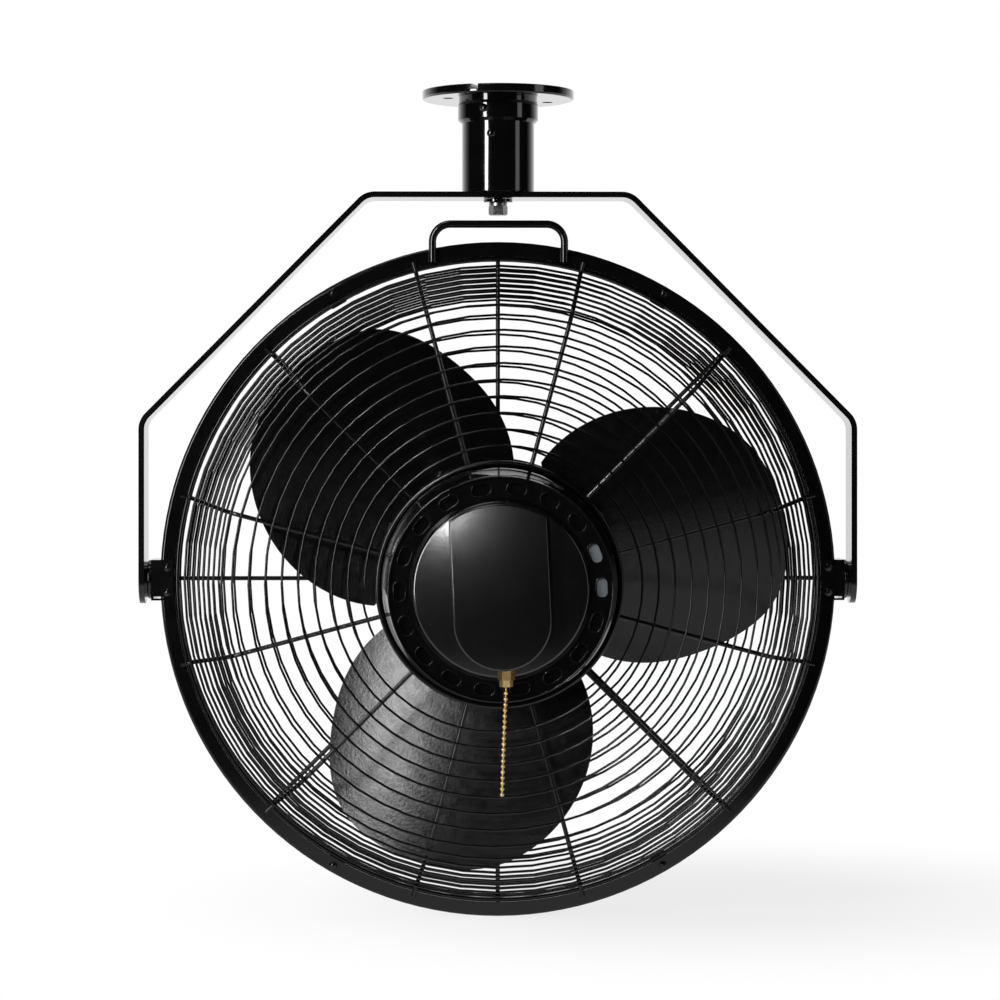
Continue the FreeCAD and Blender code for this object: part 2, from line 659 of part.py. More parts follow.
def front_station(along):
    """(radius, y) of the front spiral, that far along its profile from the first turn."""
    _, (shoulder_r, _), (foot_r, foot_y), _ = front_corners()
    slope = math.atan2(foot_y - FRONT_SPOKE_Y, foot_r - shoulder_r)
    bend = FRONT_SHOULDER_BEND + WIRE_STEP
    bend_r = shoulder_r - FRONT_SHOULDER_BEND * math.tan(slope / 2)
    flat = bend_r - FRONT_START_R
    if along < flat:
        return FRONT_START_R + along, FRONT_FACE_Y
    turn = min((along - flat) / bend, slope)
    rest = max(0.0, along - flat - bend * slope)
    return (bend_r + bend * math.sin(turn) + rest * math.cos(slope),
            FRONT_FACE_Y + bend * (1 - math.cos(turn)) + rest * math.sin(slope))


def front_stations():
    """Where the front spiral crosses the X axis, half a turn apart, from the eye to the hoop."""
    _, (shoulder_r, _), (foot_r, foot_y), _ = front_corners()
    slope = math.atan2(foot_y - FRONT_SPOKE_Y, foot_r - shoulder_r)
    flat = shoulder_r - FRONT_SHOULDER_BEND * math.tan(slope / 2) - FRONT_START_R
    side = math.hypot(foot_r - shoulder_r, foot_y - FRONT_SPOKE_Y)
    side -= (FRONT_SHOULDER_BEND + FRONT_FOOT_BEND) * math.tan(slope / 2)
    end = flat + (FRONT_SHOULDER_BEND + WIRE_STEP) * slope + side
    along, stations = 0.0, []
    while along <= end:
        stations.append(front_station(along))
        along += (GUARD_PITCH if along < flat else FRONT_SIDE_PITCH) / 2
    return stations


def rear_stations():
    """The same for the rear spiral, open at first and close near the hoop."""
    open_steps = max(1, round((REAR_DENSE_R - REAR_START_R) / (GUARD_PITCH / 2)))
    step = (REAR_DENSE_R - REAR_START_R) / open_steps
    radii = [REAR_START_R + step * i for i in range(open_steps)]
    radii += [REAR_DENSE_R + REAR_DENSE_PITCH / 2 * i for i in range(2 * REAR_DENSE_TURNS + 1)]
    return [(radius, REAR_SPOKE_Y + WIRE_STEP) for radius in radii]


def spiral(stations, first_side):
    """One unbroken wire of half-turn arcs that pass over the top, then under the bottom."""
    ends = [Vector(first_side * (-1) ** i * r, y, 0) for i, (r, y) in enumerate(stations)]
    arcs = []
    for i, (a, b) in enumerate(zip(ends, ends[1:])):
        rise = (b - a).Length / 2 * (-1) ** i
        arcs.append(Part.Arc(a, (a + b) * 0.5 + Vector(0, 0, rise), b).toShape())
    gap = min(math.dist(p, q) for p, q in zip(stations, stations[2:])) - SPIRAL_WIRE_D
    print("spiral: %.1f turns, least gap between turns %.2f mm" % (len(arcs) / 2, gap))
    return bent_rod(Part.Wire(arcs), SPIRAL_WIRE_D / 2, SPIRAL_WIRE_SIDES)


def eye_ring(side):
    """Inner ring, outside the spokes of the front (-1) or rear (+1) guard."""
    spoke_y = FRONT_SPOKE_Y if side < 0 else REAR_SPOKE_Y
    return wire_ring(GUARD_EYE_R, GUARD_RING_D / 2, spoke_y + side * ((SPOKE_D + GUARD_RING_D) / 2 + SEAT))


def rim_ring_y(side):
    foot_y = FRONT_FOOT_Y if side < 0 else REAR_SPOKE_Y
    return foot_y - side * ((SPOKE_D + RIM_RING_D) / 2 + SEAT)


def rim_ring(side):
    """Outer ring, inside the hoop's flange and under the spokes' feet."""
    return wire_ring(FLANGE_R - RIM_RING_D / 2 - FREE, RIM_RING_D / 2, rim_ring_y(side))


def rear_spoke():
    return rod(SPOKE_D / 2, Vector(SPOKE_INNER_R, REAR_SPOKE_Y, 0),
               Vector(FLANGE_R + REAR_SPOKE_LAP, REAR_SPOKE_Y, 0))


def rear_cap():
    """Pressed cap that closes the eye of the rear guard."""
    lip = REAR_SPOKE_Y - SPOKE_D / 2 - SEAT
    t, flange, cup = REAR_CAP_T, DISH_D / 2, SPOKE_INNER_R - REAR_CAP_SETBACK
    top, step, crown = cup - REAR_CAP_TAPER, lip + REAR_CAP_STEP, lip + REAR_CAP_CROWN
    return turned([(flange, lip), (cup, lip), (top, step), (0, crown), (0, crown - t),
                   (top - t, step - t), (cup - t, lip - t), (flange, lip - t)],
                  [0, 0, REAR_CAP_OUTER_BEND, 0, 0, REAR_CAP_INNER_BEND, 0, 0])


# Motor

def motor_dish():
    """Pressed dish in the eye of the front guard, with the rear bearing's seat."""
    flange, cup, t = DISH_D / 2, DISH_CUP_R, DISH_SHEET
    seat, boss = BEARING_D / 2 + SEAT, BEARING_D / 2 + BEARING_BOSS_WALL
    eye, boss_end = SHAFT_R + 3.0, SEAT_Y + t + BEARING_W + 1.0
    dish = turned([(flange, DISH_Y), (cup, DISH_Y), (cup, SEAT_Y), (eye, SEAT_Y), (eye, SEAT_Y + t),
                   (seat, SEAT_Y + t), (seat, boss_end), (boss, boss_end), (boss, SEAT_Y + t),
                   (cup - t, SEAT_Y + t), (cup - t, DISH_Y + t), (flange, DISH_Y + t)],
                  [0, 0, 3] + [0] * 6 + [1.5, 0, 0])
    return drilled(dish, stator_bolt_holes(SEAT_Y))


def stator_bolt_holes(y):
    hole = rod(STATOR_BOLT_D / 2 + SEAT, Vector(STATOR_BOLT_R, y - 5, 0), Vector(STATOR_BOLT_R, y + 5, 0))
    return around(hole, 4, 45)


def vent_slot(depth):
    """A round-ended slot on +X, long across the radius, through the front face."""
    end = (VENT_LENGTH - VENT_W) / 2
    slot = block(Vector(VENT_R - VENT_W / 2, SHELL_FRONT - 1, -end),
                 Vector(VENT_R + VENT_W / 2, SHELL_FRONT + depth, end))
    for z in (-end, end):
        slot = slot.fuse(rod(VENT_W / 2, Vector(VENT_R, SHELL_FRONT - 1, z),
                             Vector(VENT_R, SHELL_FRONT + depth, z)))
    return slot.removeSplitter()


def motor_shell():
    back, t = SEAT_Y - SEAT, MOTOR_WALL
    rim, inner = SHELL_R + RIM_FLARE, SHELL_R - t
    lip = SHELL_FRONT - RIM_LIP
    shell = turned([(SHELL_R, back), (SHELL_R, SHELL_FRONT + 7), (rim, SHELL_FRONT + 4), (rim, lip),
                    (rim - t, lip), (rim - t, SHELL_FRONT), (VENT_EYE_R, SHELL_FRONT),
                    (VENT_EYE_R, SHELL_FRONT + t), (inner, SHELL_FRONT + t), (inner, back)],
                   [0, 3, 1.5, 0.7, 0.6, 0, 0, 0, 1, 0])
    shell = drilled(shell, around(vent_slot(MOTOR_WALL + 1), VENT_COUNT, VENT_TURN))
    return shell.cut(spun(gland(SEAT), GLAND_TURN))


def gland(grow=0.0):
    """Grommet for the mains lead on +X, through the shell's wall."""
    y = SEAT_Y - GLAND_SETBACK
    inner, outer = SHELL_R - MOTOR_WALL - GLAND_PROUD, SHELL_R + GLAND_PROUD
    if grow:
        return rod(GLAND_D / 2 + grow, Vector(inner, y, 0), Vector(outer, y, 0))
    body = rod(GLAND_D / 2, Vector(inner, y, 0), Vector(outer, y, 0))
    return body.cut(rod(GLAND_BORE / 2, Vector(inner - 1, y, 0), Vector(outer + 1, y, 0)))


def front_bell():
    """Front bearing bracket inside the shell, with round air holes."""
    outer, rear = SHELL_R - MOTOR_WALL - SEAT, BELL_FRONT + BELL_T
    seat, boss = BEARING_D / 2 + SEAT, BEARING_D / 2 + BEARING_BOSS_WALL
    boss_end = rear + BEARING_W + 1.0
    eye = SHAFT_R + 3.0
    bell = turned([(eye, BELL_FRONT), (outer, BELL_FRONT), (outer, rear), (boss, rear), (boss, boss_end),
                   (seat, boss_end), (seat, rear), (eye, rear)])
    hole = rod(BELL_HOLE_D / 2, Vector(BELL_HOLE_R, BELL_FRONT - 1, 0), Vector(BELL_HOLE_R, rear + 1, 0))
    return drilled(bell, around(hole, BELL_HOLES) + stator_bolt_holes(BELL_FRONT))


def bearing(start):
    bore, outer = SHAFT_R + RUN / 2, BEARING_D / 2
    return turned([(bore, start), (outer, start), (outer, start + BEARING_W), (bore, start + BEARING_W)],
                  [0, 0.6, 0.6, 0])


def stator_core():
    inner = ROTOR_R + AIR_GAP
    core = turned([(inner, STACK_FRONT), (STATOR_R, STACK_FRONT), (STATOR_R, STACK_REAR), (inner, STACK_REAR)])
    hole = rod(STATOR_BOLT_D / 2 + SEAT, Vector(STATOR_BOLT_R, STACK_FRONT - 1, 0),
               Vector(STATOR_BOLT_R, STACK_REAR + 1, 0))
    return drilled(core, around(hole, 4, 45))


def stator_windings():
    """The bundled end turns on both faces of the stack."""
    ends = []
    for near, far in ((STACK_FRONT - SEAT, STACK_FRONT - COIL_H), (STACK_REAR + SEAT, STACK_REAR + COIL_H)):
        ends.append(turned([(COIL_INNER_R, near), (COIL_OUTER_R, near), (COIL_OUTER_R, far), (COIL_INNER_R, far)],
                           [0, 0, COIL_H * 0.45, COIL_H * 0.45]))
    return ends


def stator_bolts():
    """Through bolts from the front bell to the dish, each with its nut behind the dish."""
    x, pin, head = STATOR_BOLT_R, STATOR_BOLT_D / 2, STATOR_BOLT_HEAD_D / 2
    under_head, under_nut = BELL_FRONT - SEAT, SEAT_Y + DISH_SHEET + SEAT
    front, back = under_head - STATOR_BOLT_HEAD_H, under_nut + STATOR_BOLT_HEAD_H
    bolt = turned([(0, front), (head, front), (head, under_head), (pin, under_head), (pin, under_nut),
                   (head, under_nut), (head, back), (0, back)])
    return around(moved(bolt, x, 0, 0), 4, 45)


def cover_solid(inset=0.0):
    """The filled cover, or its hollow when inset by the wall."""
    centre, dome = COVER_CROWN_Y + COVER_DOME_R, COVER_DOME_R - inset

    def on_dome(r):
        return Vector(r, centre - math.sqrt(dome ** 2 - r ** 2), 0)
    side = COVER_SHOULDER_R - inset
    foot, base = Vector(0, COVER_BASE_Y, 0), Vector(COVER_BASE_R - inset, COVER_BASE_Y, 0)
    edges = [Part.LineSegment(foot, base).toShape(), Part.LineSegment(base, on_dome(side)).toShape(),
             Part.Arc(on_dome(side), on_dome(side / 2), on_dome(0)).toShape(),
             Part.LineSegment(on_dome(0), foot).toShape()]
    return Part.Face(Part.Wire(edges)).revolve(ORIGIN, ALONG_Y, 360)


def motor_cover():
    solid = cover_solid()
    rim = [e for e in solid.Edges if abs(e.BoundBox.YMin - COVER_SHOULDER_Y) < 0.01
           and abs(e.BoundBox.YMax - COVER_SHOULDER_Y) < 0.01]
    cover = solid.makeFillet(COVER_EDGE_R, rim).cut(cover_solid(COVER_WALL))
    return cover.cut(box_solid(BOX_WALL + WINDOW_INSET))


def box_solid(inset=0.0, sink=0.0):
    """The filled switch box: straight sides, a round lower end and a domed front, down to the cover's base."""
    half, low, high, front = BOX_W / 2 - inset, -BOX_ARC_DROP, BOX_TOP_R + 1, BOX_FRONT + sink
    left, right = Vector(-half, front, low), Vector(half, front, low)
    top_left, top_right = Vector(-half, front, high), Vector(half, front, high)
    outline = [Part.Arc(left, Vector(0, front, low - half), right).toShape(),
               Part.LineSegment(right, top_right).toShape(),
               Part.LineSegment(top_right, top_left).toShape(), Part.LineSegment(top_left, left).toShape()]
    prism = Part.Face(Part.Wire(outline)).extrude(Vector(0, COVER_BASE_Y - front, 0))
    prism = prism.common(rod(BOX_TOP_R - inset, Vector(0, front, 0), Vector(0, COVER_BASE_Y, 0)))
    prism = prism.common(Part.makeSphere(BOX_DOME_R - sink, Vector(0, BOX_FRONT + BOX_DOME_R, 0)))
    return spun(prism, MOTOR_ROLL)


def switch_box():
    """Raised hollow box on the cover's crown, with the pull socket's hole in its round end."""
    solid = box_solid()
    front = [f for f in solid.Faces if isinstance(f.Surface, Part.Sphere)]
    box = solid.makeFillet(BOX_EDGE_R, front[0].Edges).cut(box_solid(BOX_WALL, BOX_WALL))
    neck = rod(SOCKET_NECK_D / 2 + SEAT, Vector(SOCKET_X, SOCKET_Y, BOX_BOTTOM - 1),
               Vector(SOCKET_X, SOCKET_Y, BOX_BOTTOM + BOX_WALL + 2))
    return box.cut(cover_solid(-SEAT)).cut(neck)


def capacitor():
    x, y, z = CAPACITOR_SIZE
    low = Vector(-x / 2, BELL_FRONT - SEAT - y, CAPACITOR_LIFT)
    case = Part.makeBox(x, y, z, low)
    return case.makeFillet(y / 4, [e for e in case.Edges if abs(e.tangentAt(0).y) > 0.9])


# Pull switch and chain

def chain_socket():
    """Hexagonal bush under the switch box, with a neck through its wall to the switch."""
    base = Vector(SOCKET_X, SOCKET_Y, SOCKET_BOTTOM)
    bush = hexagon(SOCKET_AC, SOCKET_H + BOX_WALL, base, ALONG_Z).cut(box_solid(-SEAT, -SEAT))
    neck = rod(SOCKET_NECK_D / 2, base + Vector(0, 0, SOCKET_H / 2), base + Vector(0, 0, SOCKET_H + SOCKET_NECK_H))
    bore = rod(PLUNGER_BORE / 2, base - ALONG_Z, base + Vector(0, 0, SOCKET_H + SOCKET_NECK_H + 1))
    return bush.fuse(neck).removeSplitter().cut(bore)


def chain_nut():
    base = Vector(SOCKET_X, SOCKET_Y, CHAIN_NUT_BOTTOM)
    nut = hexagon(CHAIN_NUT_AC, CHAIN_NUT_H, base, ALONG_Z)
    return nut.cut(rod(PLUNGER_BORE / 2, base - ALONG_Z, base + Vector(0, 0, CHAIN_NUT_H + 1)))


def pull_switch():
    x, y, z = SWITCH_SIZE
    low = Vector(SOCKET_X - x / 2, SOCKET_Y - SWITCH_SET_IN, SOCKET_BOTTOM + SOCKET_H + SOCKET_NECK_H + SEAT)
    return Part.makeBox(x, y, z, low)


def switch_plunger():
    foot = Vector(SOCKET_X, SOCKET_Y, CHAIN_TOP)
    return rod(PLUNGER_D / 2, foot, foot + Vector(0, 0, PLUNGER_L))


def pull_chain():
    """The hanging chain as a plain straight cord, plumb below the plunger."""
    top = HEAD.multVec(Vector(SOCKET_X, SOCKET_Y, CHAIN_TOP)) - ALONG_Z * (SEAT + CHAIN_D / 2 * math.sin(
        math.radians(REST_TILT)))
    return rod(CHAIN_D / 2, top, top - ALONG_Z * (CHAIN_L + PLUNGER_HIDE))


# Rotor

def shaft():
    front, rear = BELL_FRONT - 1.0, BOSS_REAR + 4.0
    return turned([(0, front), (SHAFT_R, front), (SHAFT_R, rear), (0, rear)], [0, 0.8, 0.8, 0])


def rotor_core():
    bore = SHAFT_R + SEAT
    return turned([(bore, STACK_FRONT), (ROTOR_R, STACK_FRONT), (ROTOR_R, STACK_REAR), (bore, STACK_REAR)])


def pitched(shape):
    """Tilted about the blade's radial centre line, leading edge towards the motor."""
    copy = shape.copy()
    copy.rotate(Vector(0, BLADE_PLANE, 0), ALONG_X, -BLADE_PITCH)
    return copy


def blade_sheet(outer, inner):
    """Part of a large tube along the blade, bulging towards the motor, at those depths."""
    start, length = Vector(0, BLADE_PLANE + BLADE_CAMBER_R, 0), BLADE_TIP[0] * 2
    tube = Part.makeCylinder(BLADE_CAMBER_R + outer, length, start, ALONG_X)
    return pitched(tube.cut(Part.makeCylinder(BLADE_CAMBER_R + inner, length, start, ALONG_X)))


def sheet_cut(outline, outer, inner):
    """A sheet with that outline as seen along the fan's axis."""
    reach = BLADE_TIP[0] / 2
    prism = Part.Face(outline).extrude(Vector(0, 2 * reach, 0))
    return prism.translated(Vector(0, BLADE_PLANE - reach, 0)).common(blade_sheet(outer, inner))


def blade():
    """A broad round paddle on +X, with its leading edge at +Z."""
    points = [Vector(out, 0, across) for out, across in BLADE_TRAIL + (BLADE_TIP,) + BLADE_LEAD]
    rim = Part.BSplineCurve()
    rim.interpolate(points)
    outline = Part.Wire([rim.toShape(), Part.LineSegment(points[-1], points[0]).toShape()])
    return drilled(sheet_cut(outline, BLADE_T / 2, -BLADE_T / 2), blade_rivets(SEAT))


def blade_rivets(grow=0.0):
    """The two rivets of the +X blade, square to its sheet, through the hub's arm."""
    grip = BLADE_T + SEAT + ARM_T
    reach = grip + 3 * SEAT
    pin = domed_pin(BLADE_RIVET_D / 2, reach, BLADE_RIVET_HEAD_D / 2, BLADE_RIVET_HEAD_H)
    tail = moved(rod(BLADE_RIVET_HEAD_D / 2 - 1, ORIGIN, Vector(0, 1.2, 0)), 0, reach, 0)
    if grow:
        pin = rod(BLADE_RIVET_D / 2 + grow, Vector(0, -2, 0), Vector(0, grip + 2, 0))
    else:
        pin = pin.fuse(tail).removeSplitter()
        pin.translate(Vector(0, -SEAT, 0))
    centre = Vector(0, BLADE_PLANE + BLADE_CAMBER_R, 0)
    lean = math.degrees(math.asin(BLADE_RIVET_HALF / BLADE_CAMBER_R))
    pins = []
    for side in (-1, 1):
        placed = moved(pin, BLADE_RIVET_R, BLADE_PLANE - BLADE_T / 2, 0)
        placed.rotate(centre, ALONG_X, side * lean)
        pins.append(pitched(placed))
    return pins


def hub_arm():
    inner, outer = BOSS_D / 4, ARM_REACH
    corners = [(inner, -ARM_ROOT_HALF), (outer, -ARM_END_HALF), (outer, ARM_END_HALF), (inner, ARM_ROOT_HALF)]
    outline = rounded_wire([Vector(x, 0, z) for x, z in corners], [0, ARM_CORNER_R, ARM_CORNER_R, 0], True)
    back = -BLADE_T / 2 - SEAT
    return sheet_cut(outline, back, back - ARM_T).cut(hub_bore())


def hub_bore():
    return rod(SHAFT_R + SEAT, Vector(0, BLADE_PLANE - BOSS_L, 0), Vector(0, BLADE_PLANE + BOSS_L, 0))


def hub_screw(grow=0.0):
    """Grub screw along +X that grips the shaft, behind the blades."""
    y = BOSS_REAR - HUB_SCREW_D / 2 - 1.0
    end = BOSS_D if grow else BOSS_D / 2
    return rod(HUB_SCREW_D / 2 + grow, Vector(SHAFT_R + SEAT, y, 0), Vector(end, y, 0))


def blade_hub():
    """Cast hub with one pitched arm behind each blade."""
    boss, front = BOSS_D / 2, BOSS_REAR - BOSS_L
    disc_rear = BLADE_PLANE + HUB_T / 2
    hub = turned([(0, front), (boss, front), (boss, disc_rear - HUB_T), (HUB_D / 2, disc_rear - HUB_T),
                  (HUB_D / 2, disc_rear), (boss, disc_rear), (boss, BOSS_REAR), (0, BOSS_REAR)],
                 [0, 1, 2, 1, 1, 2, 1, 0])
    arm = hub_arm()
    for turned_arm in around(arm, BLADE_COUNT, BLADE_TURN):
        hub = hub.fuse(turned_arm)
    hub = hub.removeSplitter().cut(hub_bore()).cut(hub_screw(SEAT))
    holes = [spun(pin, BLADE_TURN + 360.0 * i / BLADE_COUNT)
             for i in range(BLADE_COUNT) for pin in blade_rivets(SEAT)]
    return drilled(hub, holes)


# All nodes

os.makedirs("parts", exist_ok=True)

save("ceiling_plate", ceiling_plate())
save("mount_collar", mount_collar())
save("neck_tube", neck_tube())
save("tube_plug", tube_plug())
save("neck_screws", neck_screws())
save("bolt_washer", ring_washer(BOLT_D / 2 + SEAT, WASHER_D / 2, WASHER_TOP, WASHER_T))
save("lock_washer", lock_washer())
save("swivel_bolt", swivel_bolt())

save("yoke_bar", yoke_bar())
save("tilt_washers", [moved(s, 0, 0, -PIVOT_DROP) for s in pair(tilt_washer())])
save("tilt_screws", [moved(s, 0, 0, -PIVOT_DROP) for s in pair(tilt_screw())])
save("tilt_nuts", [moved(s, 0, 0, -PIVOT_DROP) for s in pair(tilt_nut())])

RIGHT_BRACKET, LEFT_BRACKET = pair(side_bracket())
save("hoop", hoop(), head=True)
save("right_bracket", RIGHT_BRACKET, head=True)
save("left_bracket", LEFT_BRACKET, head=True)
save("bracket_rivets", [solid for pin in bracket_rivets() for solid in pair(pin)], head=True)
save("carry_handle", carry_handle(), head=True)
save("guard_screws", guard_screw_set(-1) + guard_screw_set(1), head=True)
save("guard_clips", [spun(guard_clip(), turn) for k in (1, -1)
                     for turn in (k * GUARD_SCREW_TURN, 180 - k * GUARD_SCREW_TURN)], head=True)

save("front_guard_spiral", spiral(front_stations(), -1), head=True)
save("front_guard_spokes", around(front_spoke(), FRONT_SPOKES, FRONT_SPOKE_TURN), head=True)
save("front_guard_eye_ring", eye_ring(-1), head=True)
save("front_guard_rim_ring", rim_ring(-1), head=True)
save("rear_guard_spiral", spiral(rear_stations(), 1), head=True)
save("rear_guard_spokes", around(rear_spoke(), REAR_SPOKES), head=True)
save("rear_guard_eye_ring", eye_ring(1), head=True)
save("rear_guard_rim_ring", rim_ring(1), head=True)
save("rear_cap", rear_cap(), head=True)

save("motor_dish", motor_dish(), head=True)
save("motor_shell", motor_shell(), head=True)
save("front_bell", front_bell(), head=True)
save("front_bearing", bearing(BELL_FRONT + BELL_T + SEAT), head=True)
save("rear_bearing", bearing(SEAT_Y + DISH_SHEET + SEAT), head=True)
save("stator_core", stator_core(), head=True)
save("stator_windings", stator_windings(), head=True)
save("stator_bolts", stator_bolts(), head=True)
save("motor_cover", motor_cover(), head=True)
save("switch_box", switch_box(), head=True)
save("capacitor", capacitor(), head=True)
save("cord_gland", spun(gland(), GLAND_TURN), head=True)
save("chain_socket", chain_socket(), head=True)
save("chain_nut", chain_nut(), head=True)
save("pull_switch", pull_switch(), head=True)
save("switch_plunger", switch_plunger(), head=True)
save("pull_chain", pull_chain())

save("shaft", shaft(), head=True)
save("rotor_core", rotor_core(), head=True)
save("blade_hub", blade_hub(), head=True)
save("hub_screw", hub_screw(), head=True)
BLADE, RIVETS = blade(), blade_rivets()
for number, leaf in enumerate(around(BLADE, BLADE_COUNT, BLADE_TURN), 1):
    save("blade_%d" % number, leaf, head=True)
save("blade_rivets", [solid for pin in RIVETS for solid in around(pin, BLADE_COUNT, BLADE_TURN)], head=True)
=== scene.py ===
# %% [markdown]
# # A black ceiling mount fan
# The fan hangs from a round plate by a short neck. A flat-bar yoke swivels under the neck, and a
# hoop with two spiral wire guards, a motor and three paddle blades tilts in the yoke. The solid
# model is already packed as a frame of named nodes, so this lesson gives it its finishes, its
# bead chain, its small marks of making, and a white studio. Loading the frame comes first, and
# its box is kept, because the dressed fan must not outgrow it.

# %% Load the frame
import json
import math
import bmesh
import bpy
from mathutils import Matrix, Vector


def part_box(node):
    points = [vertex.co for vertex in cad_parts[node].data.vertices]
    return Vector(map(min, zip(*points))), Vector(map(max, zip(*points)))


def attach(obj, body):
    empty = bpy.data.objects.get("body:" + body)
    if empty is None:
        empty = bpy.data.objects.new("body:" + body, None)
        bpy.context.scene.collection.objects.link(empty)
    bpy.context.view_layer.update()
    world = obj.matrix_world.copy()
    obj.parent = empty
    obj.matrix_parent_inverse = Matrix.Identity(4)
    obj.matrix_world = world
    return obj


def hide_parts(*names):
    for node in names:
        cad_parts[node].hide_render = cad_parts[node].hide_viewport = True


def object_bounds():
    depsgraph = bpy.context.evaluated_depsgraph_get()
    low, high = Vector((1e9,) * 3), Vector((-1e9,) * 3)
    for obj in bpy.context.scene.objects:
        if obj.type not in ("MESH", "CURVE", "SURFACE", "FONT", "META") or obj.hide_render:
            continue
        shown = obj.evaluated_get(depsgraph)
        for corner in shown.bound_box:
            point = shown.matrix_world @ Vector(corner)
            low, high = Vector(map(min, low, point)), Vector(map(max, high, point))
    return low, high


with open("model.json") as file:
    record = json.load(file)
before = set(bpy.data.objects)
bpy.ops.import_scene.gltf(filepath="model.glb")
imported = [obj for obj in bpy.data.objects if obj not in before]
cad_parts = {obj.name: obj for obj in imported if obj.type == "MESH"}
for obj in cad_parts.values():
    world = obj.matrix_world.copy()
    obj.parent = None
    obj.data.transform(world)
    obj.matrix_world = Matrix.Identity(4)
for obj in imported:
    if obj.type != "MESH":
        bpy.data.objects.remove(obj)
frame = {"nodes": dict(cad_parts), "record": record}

MM = 0.001
CAD_BOX = [list(corner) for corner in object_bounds()]
NODES = frame["nodes"]
SLOT_OF = {part["node"]: part["material_slot"] for part in frame["record"]["subparts"]}

# %% [markdown]
# ## The camera
# The fan is seen from its motor side, a little above the tilt pivot and a hair to the left. A
# long lens from two and a half metres keeps the hoop round. The camera stays level and the lens
# shift lowers the frame, so the yoke's legs stay upright, as they would in a shop catalogue.

# %% Camera
CAMERA_PLACE = Vector((-37, -2563, -293.2)) * MM
CAMERA_YAW = math.radians(-0.87)
LENS_MM, SENSOR_MM = 116.6, 36.0
LENS_SHIFT = (-0.0005, -0.038)

camera = bpy.data.objects.new("camera", bpy.data.cameras.new("camera"))
camera.data.lens, camera.data.sensor_width = LENS_MM, SENSOR_MM
camera.data.shift_x, camera.data.shift_y = LENS_SHIFT
camera.location = CAMERA_PLACE
camera.rotation_euler = (math.pi / 2, 0, CAMERA_YAW)
bpy.context.scene.collection.objects.link(camera)
bpy.context.scene.camera = camera
print("camera: %.2f m ahead of the neck" % -CAMERA_PLACE.y)

# %% [markdown]
# ## Meshes and curves
# A few helpers serve all the pieces that follow. Meshes are built with bmesh, and lines are drawn
# as curves that are turned into meshes at once, so that every piece ends as a plain mesh.

# %% Helpers for meshes and curves
def link_mesh(name, mesh, smooth=True):
    """Put a mesh into the scene as an object of that name."""
    for face in mesh.polygons:
        face.use_smooth = smooth
    thing = bpy.data.objects.new(name, mesh)
    bpy.context.scene.collection.objects.link(thing)
    return thing


def mesh_object(name, bm, smooth=True):
    """Put what was built with bmesh into the scene."""
    mesh = bpy.data.meshes.new(name)
    bm.to_mesh(mesh)
    bm.free()
    return link_mesh(name, mesh, smooth)


def curve_mesh(name, lines, kind, curve_settings, spline_settings):
    """The mesh of a curve through lines of points, with settings for the curve and each line."""
    curve = bpy.data.curves.new(name, "CURVE")
    curve.dimensions = "3D"
    for setting, value in curve_settings.items():
        setattr(curve, setting, value)
    for points in lines:
        spline = curve.splines.new(kind)
        spline.points.add(len(points) - 1)
        for place, point in zip(spline.points, points):
            place.co = (*point, 1)
        for setting, value in spline_settings.items():
            setattr(spline, setting, value)
    holder = bpy.data.objects.new(name, curve)
    mesh = bpy.data.meshes.new_from_object(holder)
    bpy.data.objects.remove(holder)
    return mesh


# %% [markdown]
# ## The bead chain
# A pull chain is a row of hollow brass beads on short links. It hangs under its nut with a slight
# lean, because the links bind a little where they leave the switch. Its line is a smooth spline.

# %% Line of the chain
CHAIN_LEAN = 3.2 * MM
CHAIN_BOW, BOW_AT = 0.5 * MM, 0.45
SPLINE_STEPS, SPLINE_ORDER = 24, 3


def spline_points(name, points):
    """Points along a smooth curve that is steered by the given ones."""
    mesh = curve_mesh(name, [points], "NURBS", {"resolution_u": SPLINE_STEPS},
                      {"order_u": SPLINE_ORDER, "use_endpoint_u": True})
    line = [vertex.co.copy() for vertex in mesh.vertices]
    bpy.data.meshes.remove(mesh)
    return line


chain_low, chain_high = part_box("pull_chain")
chain_middle_x, chain_middle_y = ((chain_low[k] + chain_high[k]) / 2 for k in (0, 1))
chain_top = Vector((chain_middle_x, chain_middle_y, chain_high.z))
chain_end = Vector((chain_top.x - CHAIN_LEAN, chain_top.y, chain_low.z))
chain_middle = chain_top.lerp(chain_end, BOW_AT) - Vector((CHAIN_BOW, 0, 0))
chain_line = spline_points("chain_route", [chain_top, chain_middle, chain_end])
chain_length = sum((b - a).length for a, b in zip(chain_line, chain_line[1:]))
print("chain line: %.1f mm" % (chain_length / MM))

# %% [markdown]
# Beads could be instanced, but one joined mesh is simpler to move with the switch, so each bead
# and each short link between two beads is added to the same mesh.

# %% Bead chain
BEAD_D = 3.2 * MM
BEAD_PITCH = 4.2 * MM
LINK_D = 1.1 * MM
BEAD_SEGMENTS, BEAD_RINGS, LINK_SEGMENTS = 20, 12, 10


def along(line, distance):
    """The place that far along a line of points."""
    for start, end in zip(line, line[1:]):
        step = (end - start).length
        if distance <= step:
            return start.lerp(end, distance / step)
        distance -= step
    return line[-1].copy()


bead_count = int((chain_length - BEAD_D) / BEAD_PITCH) + 1
first_bead = chain_length - BEAD_D / 2 - (bead_count - 1) * BEAD_PITCH
bead_places = [first_bead + i * BEAD_PITCH for i in range(bead_count)]

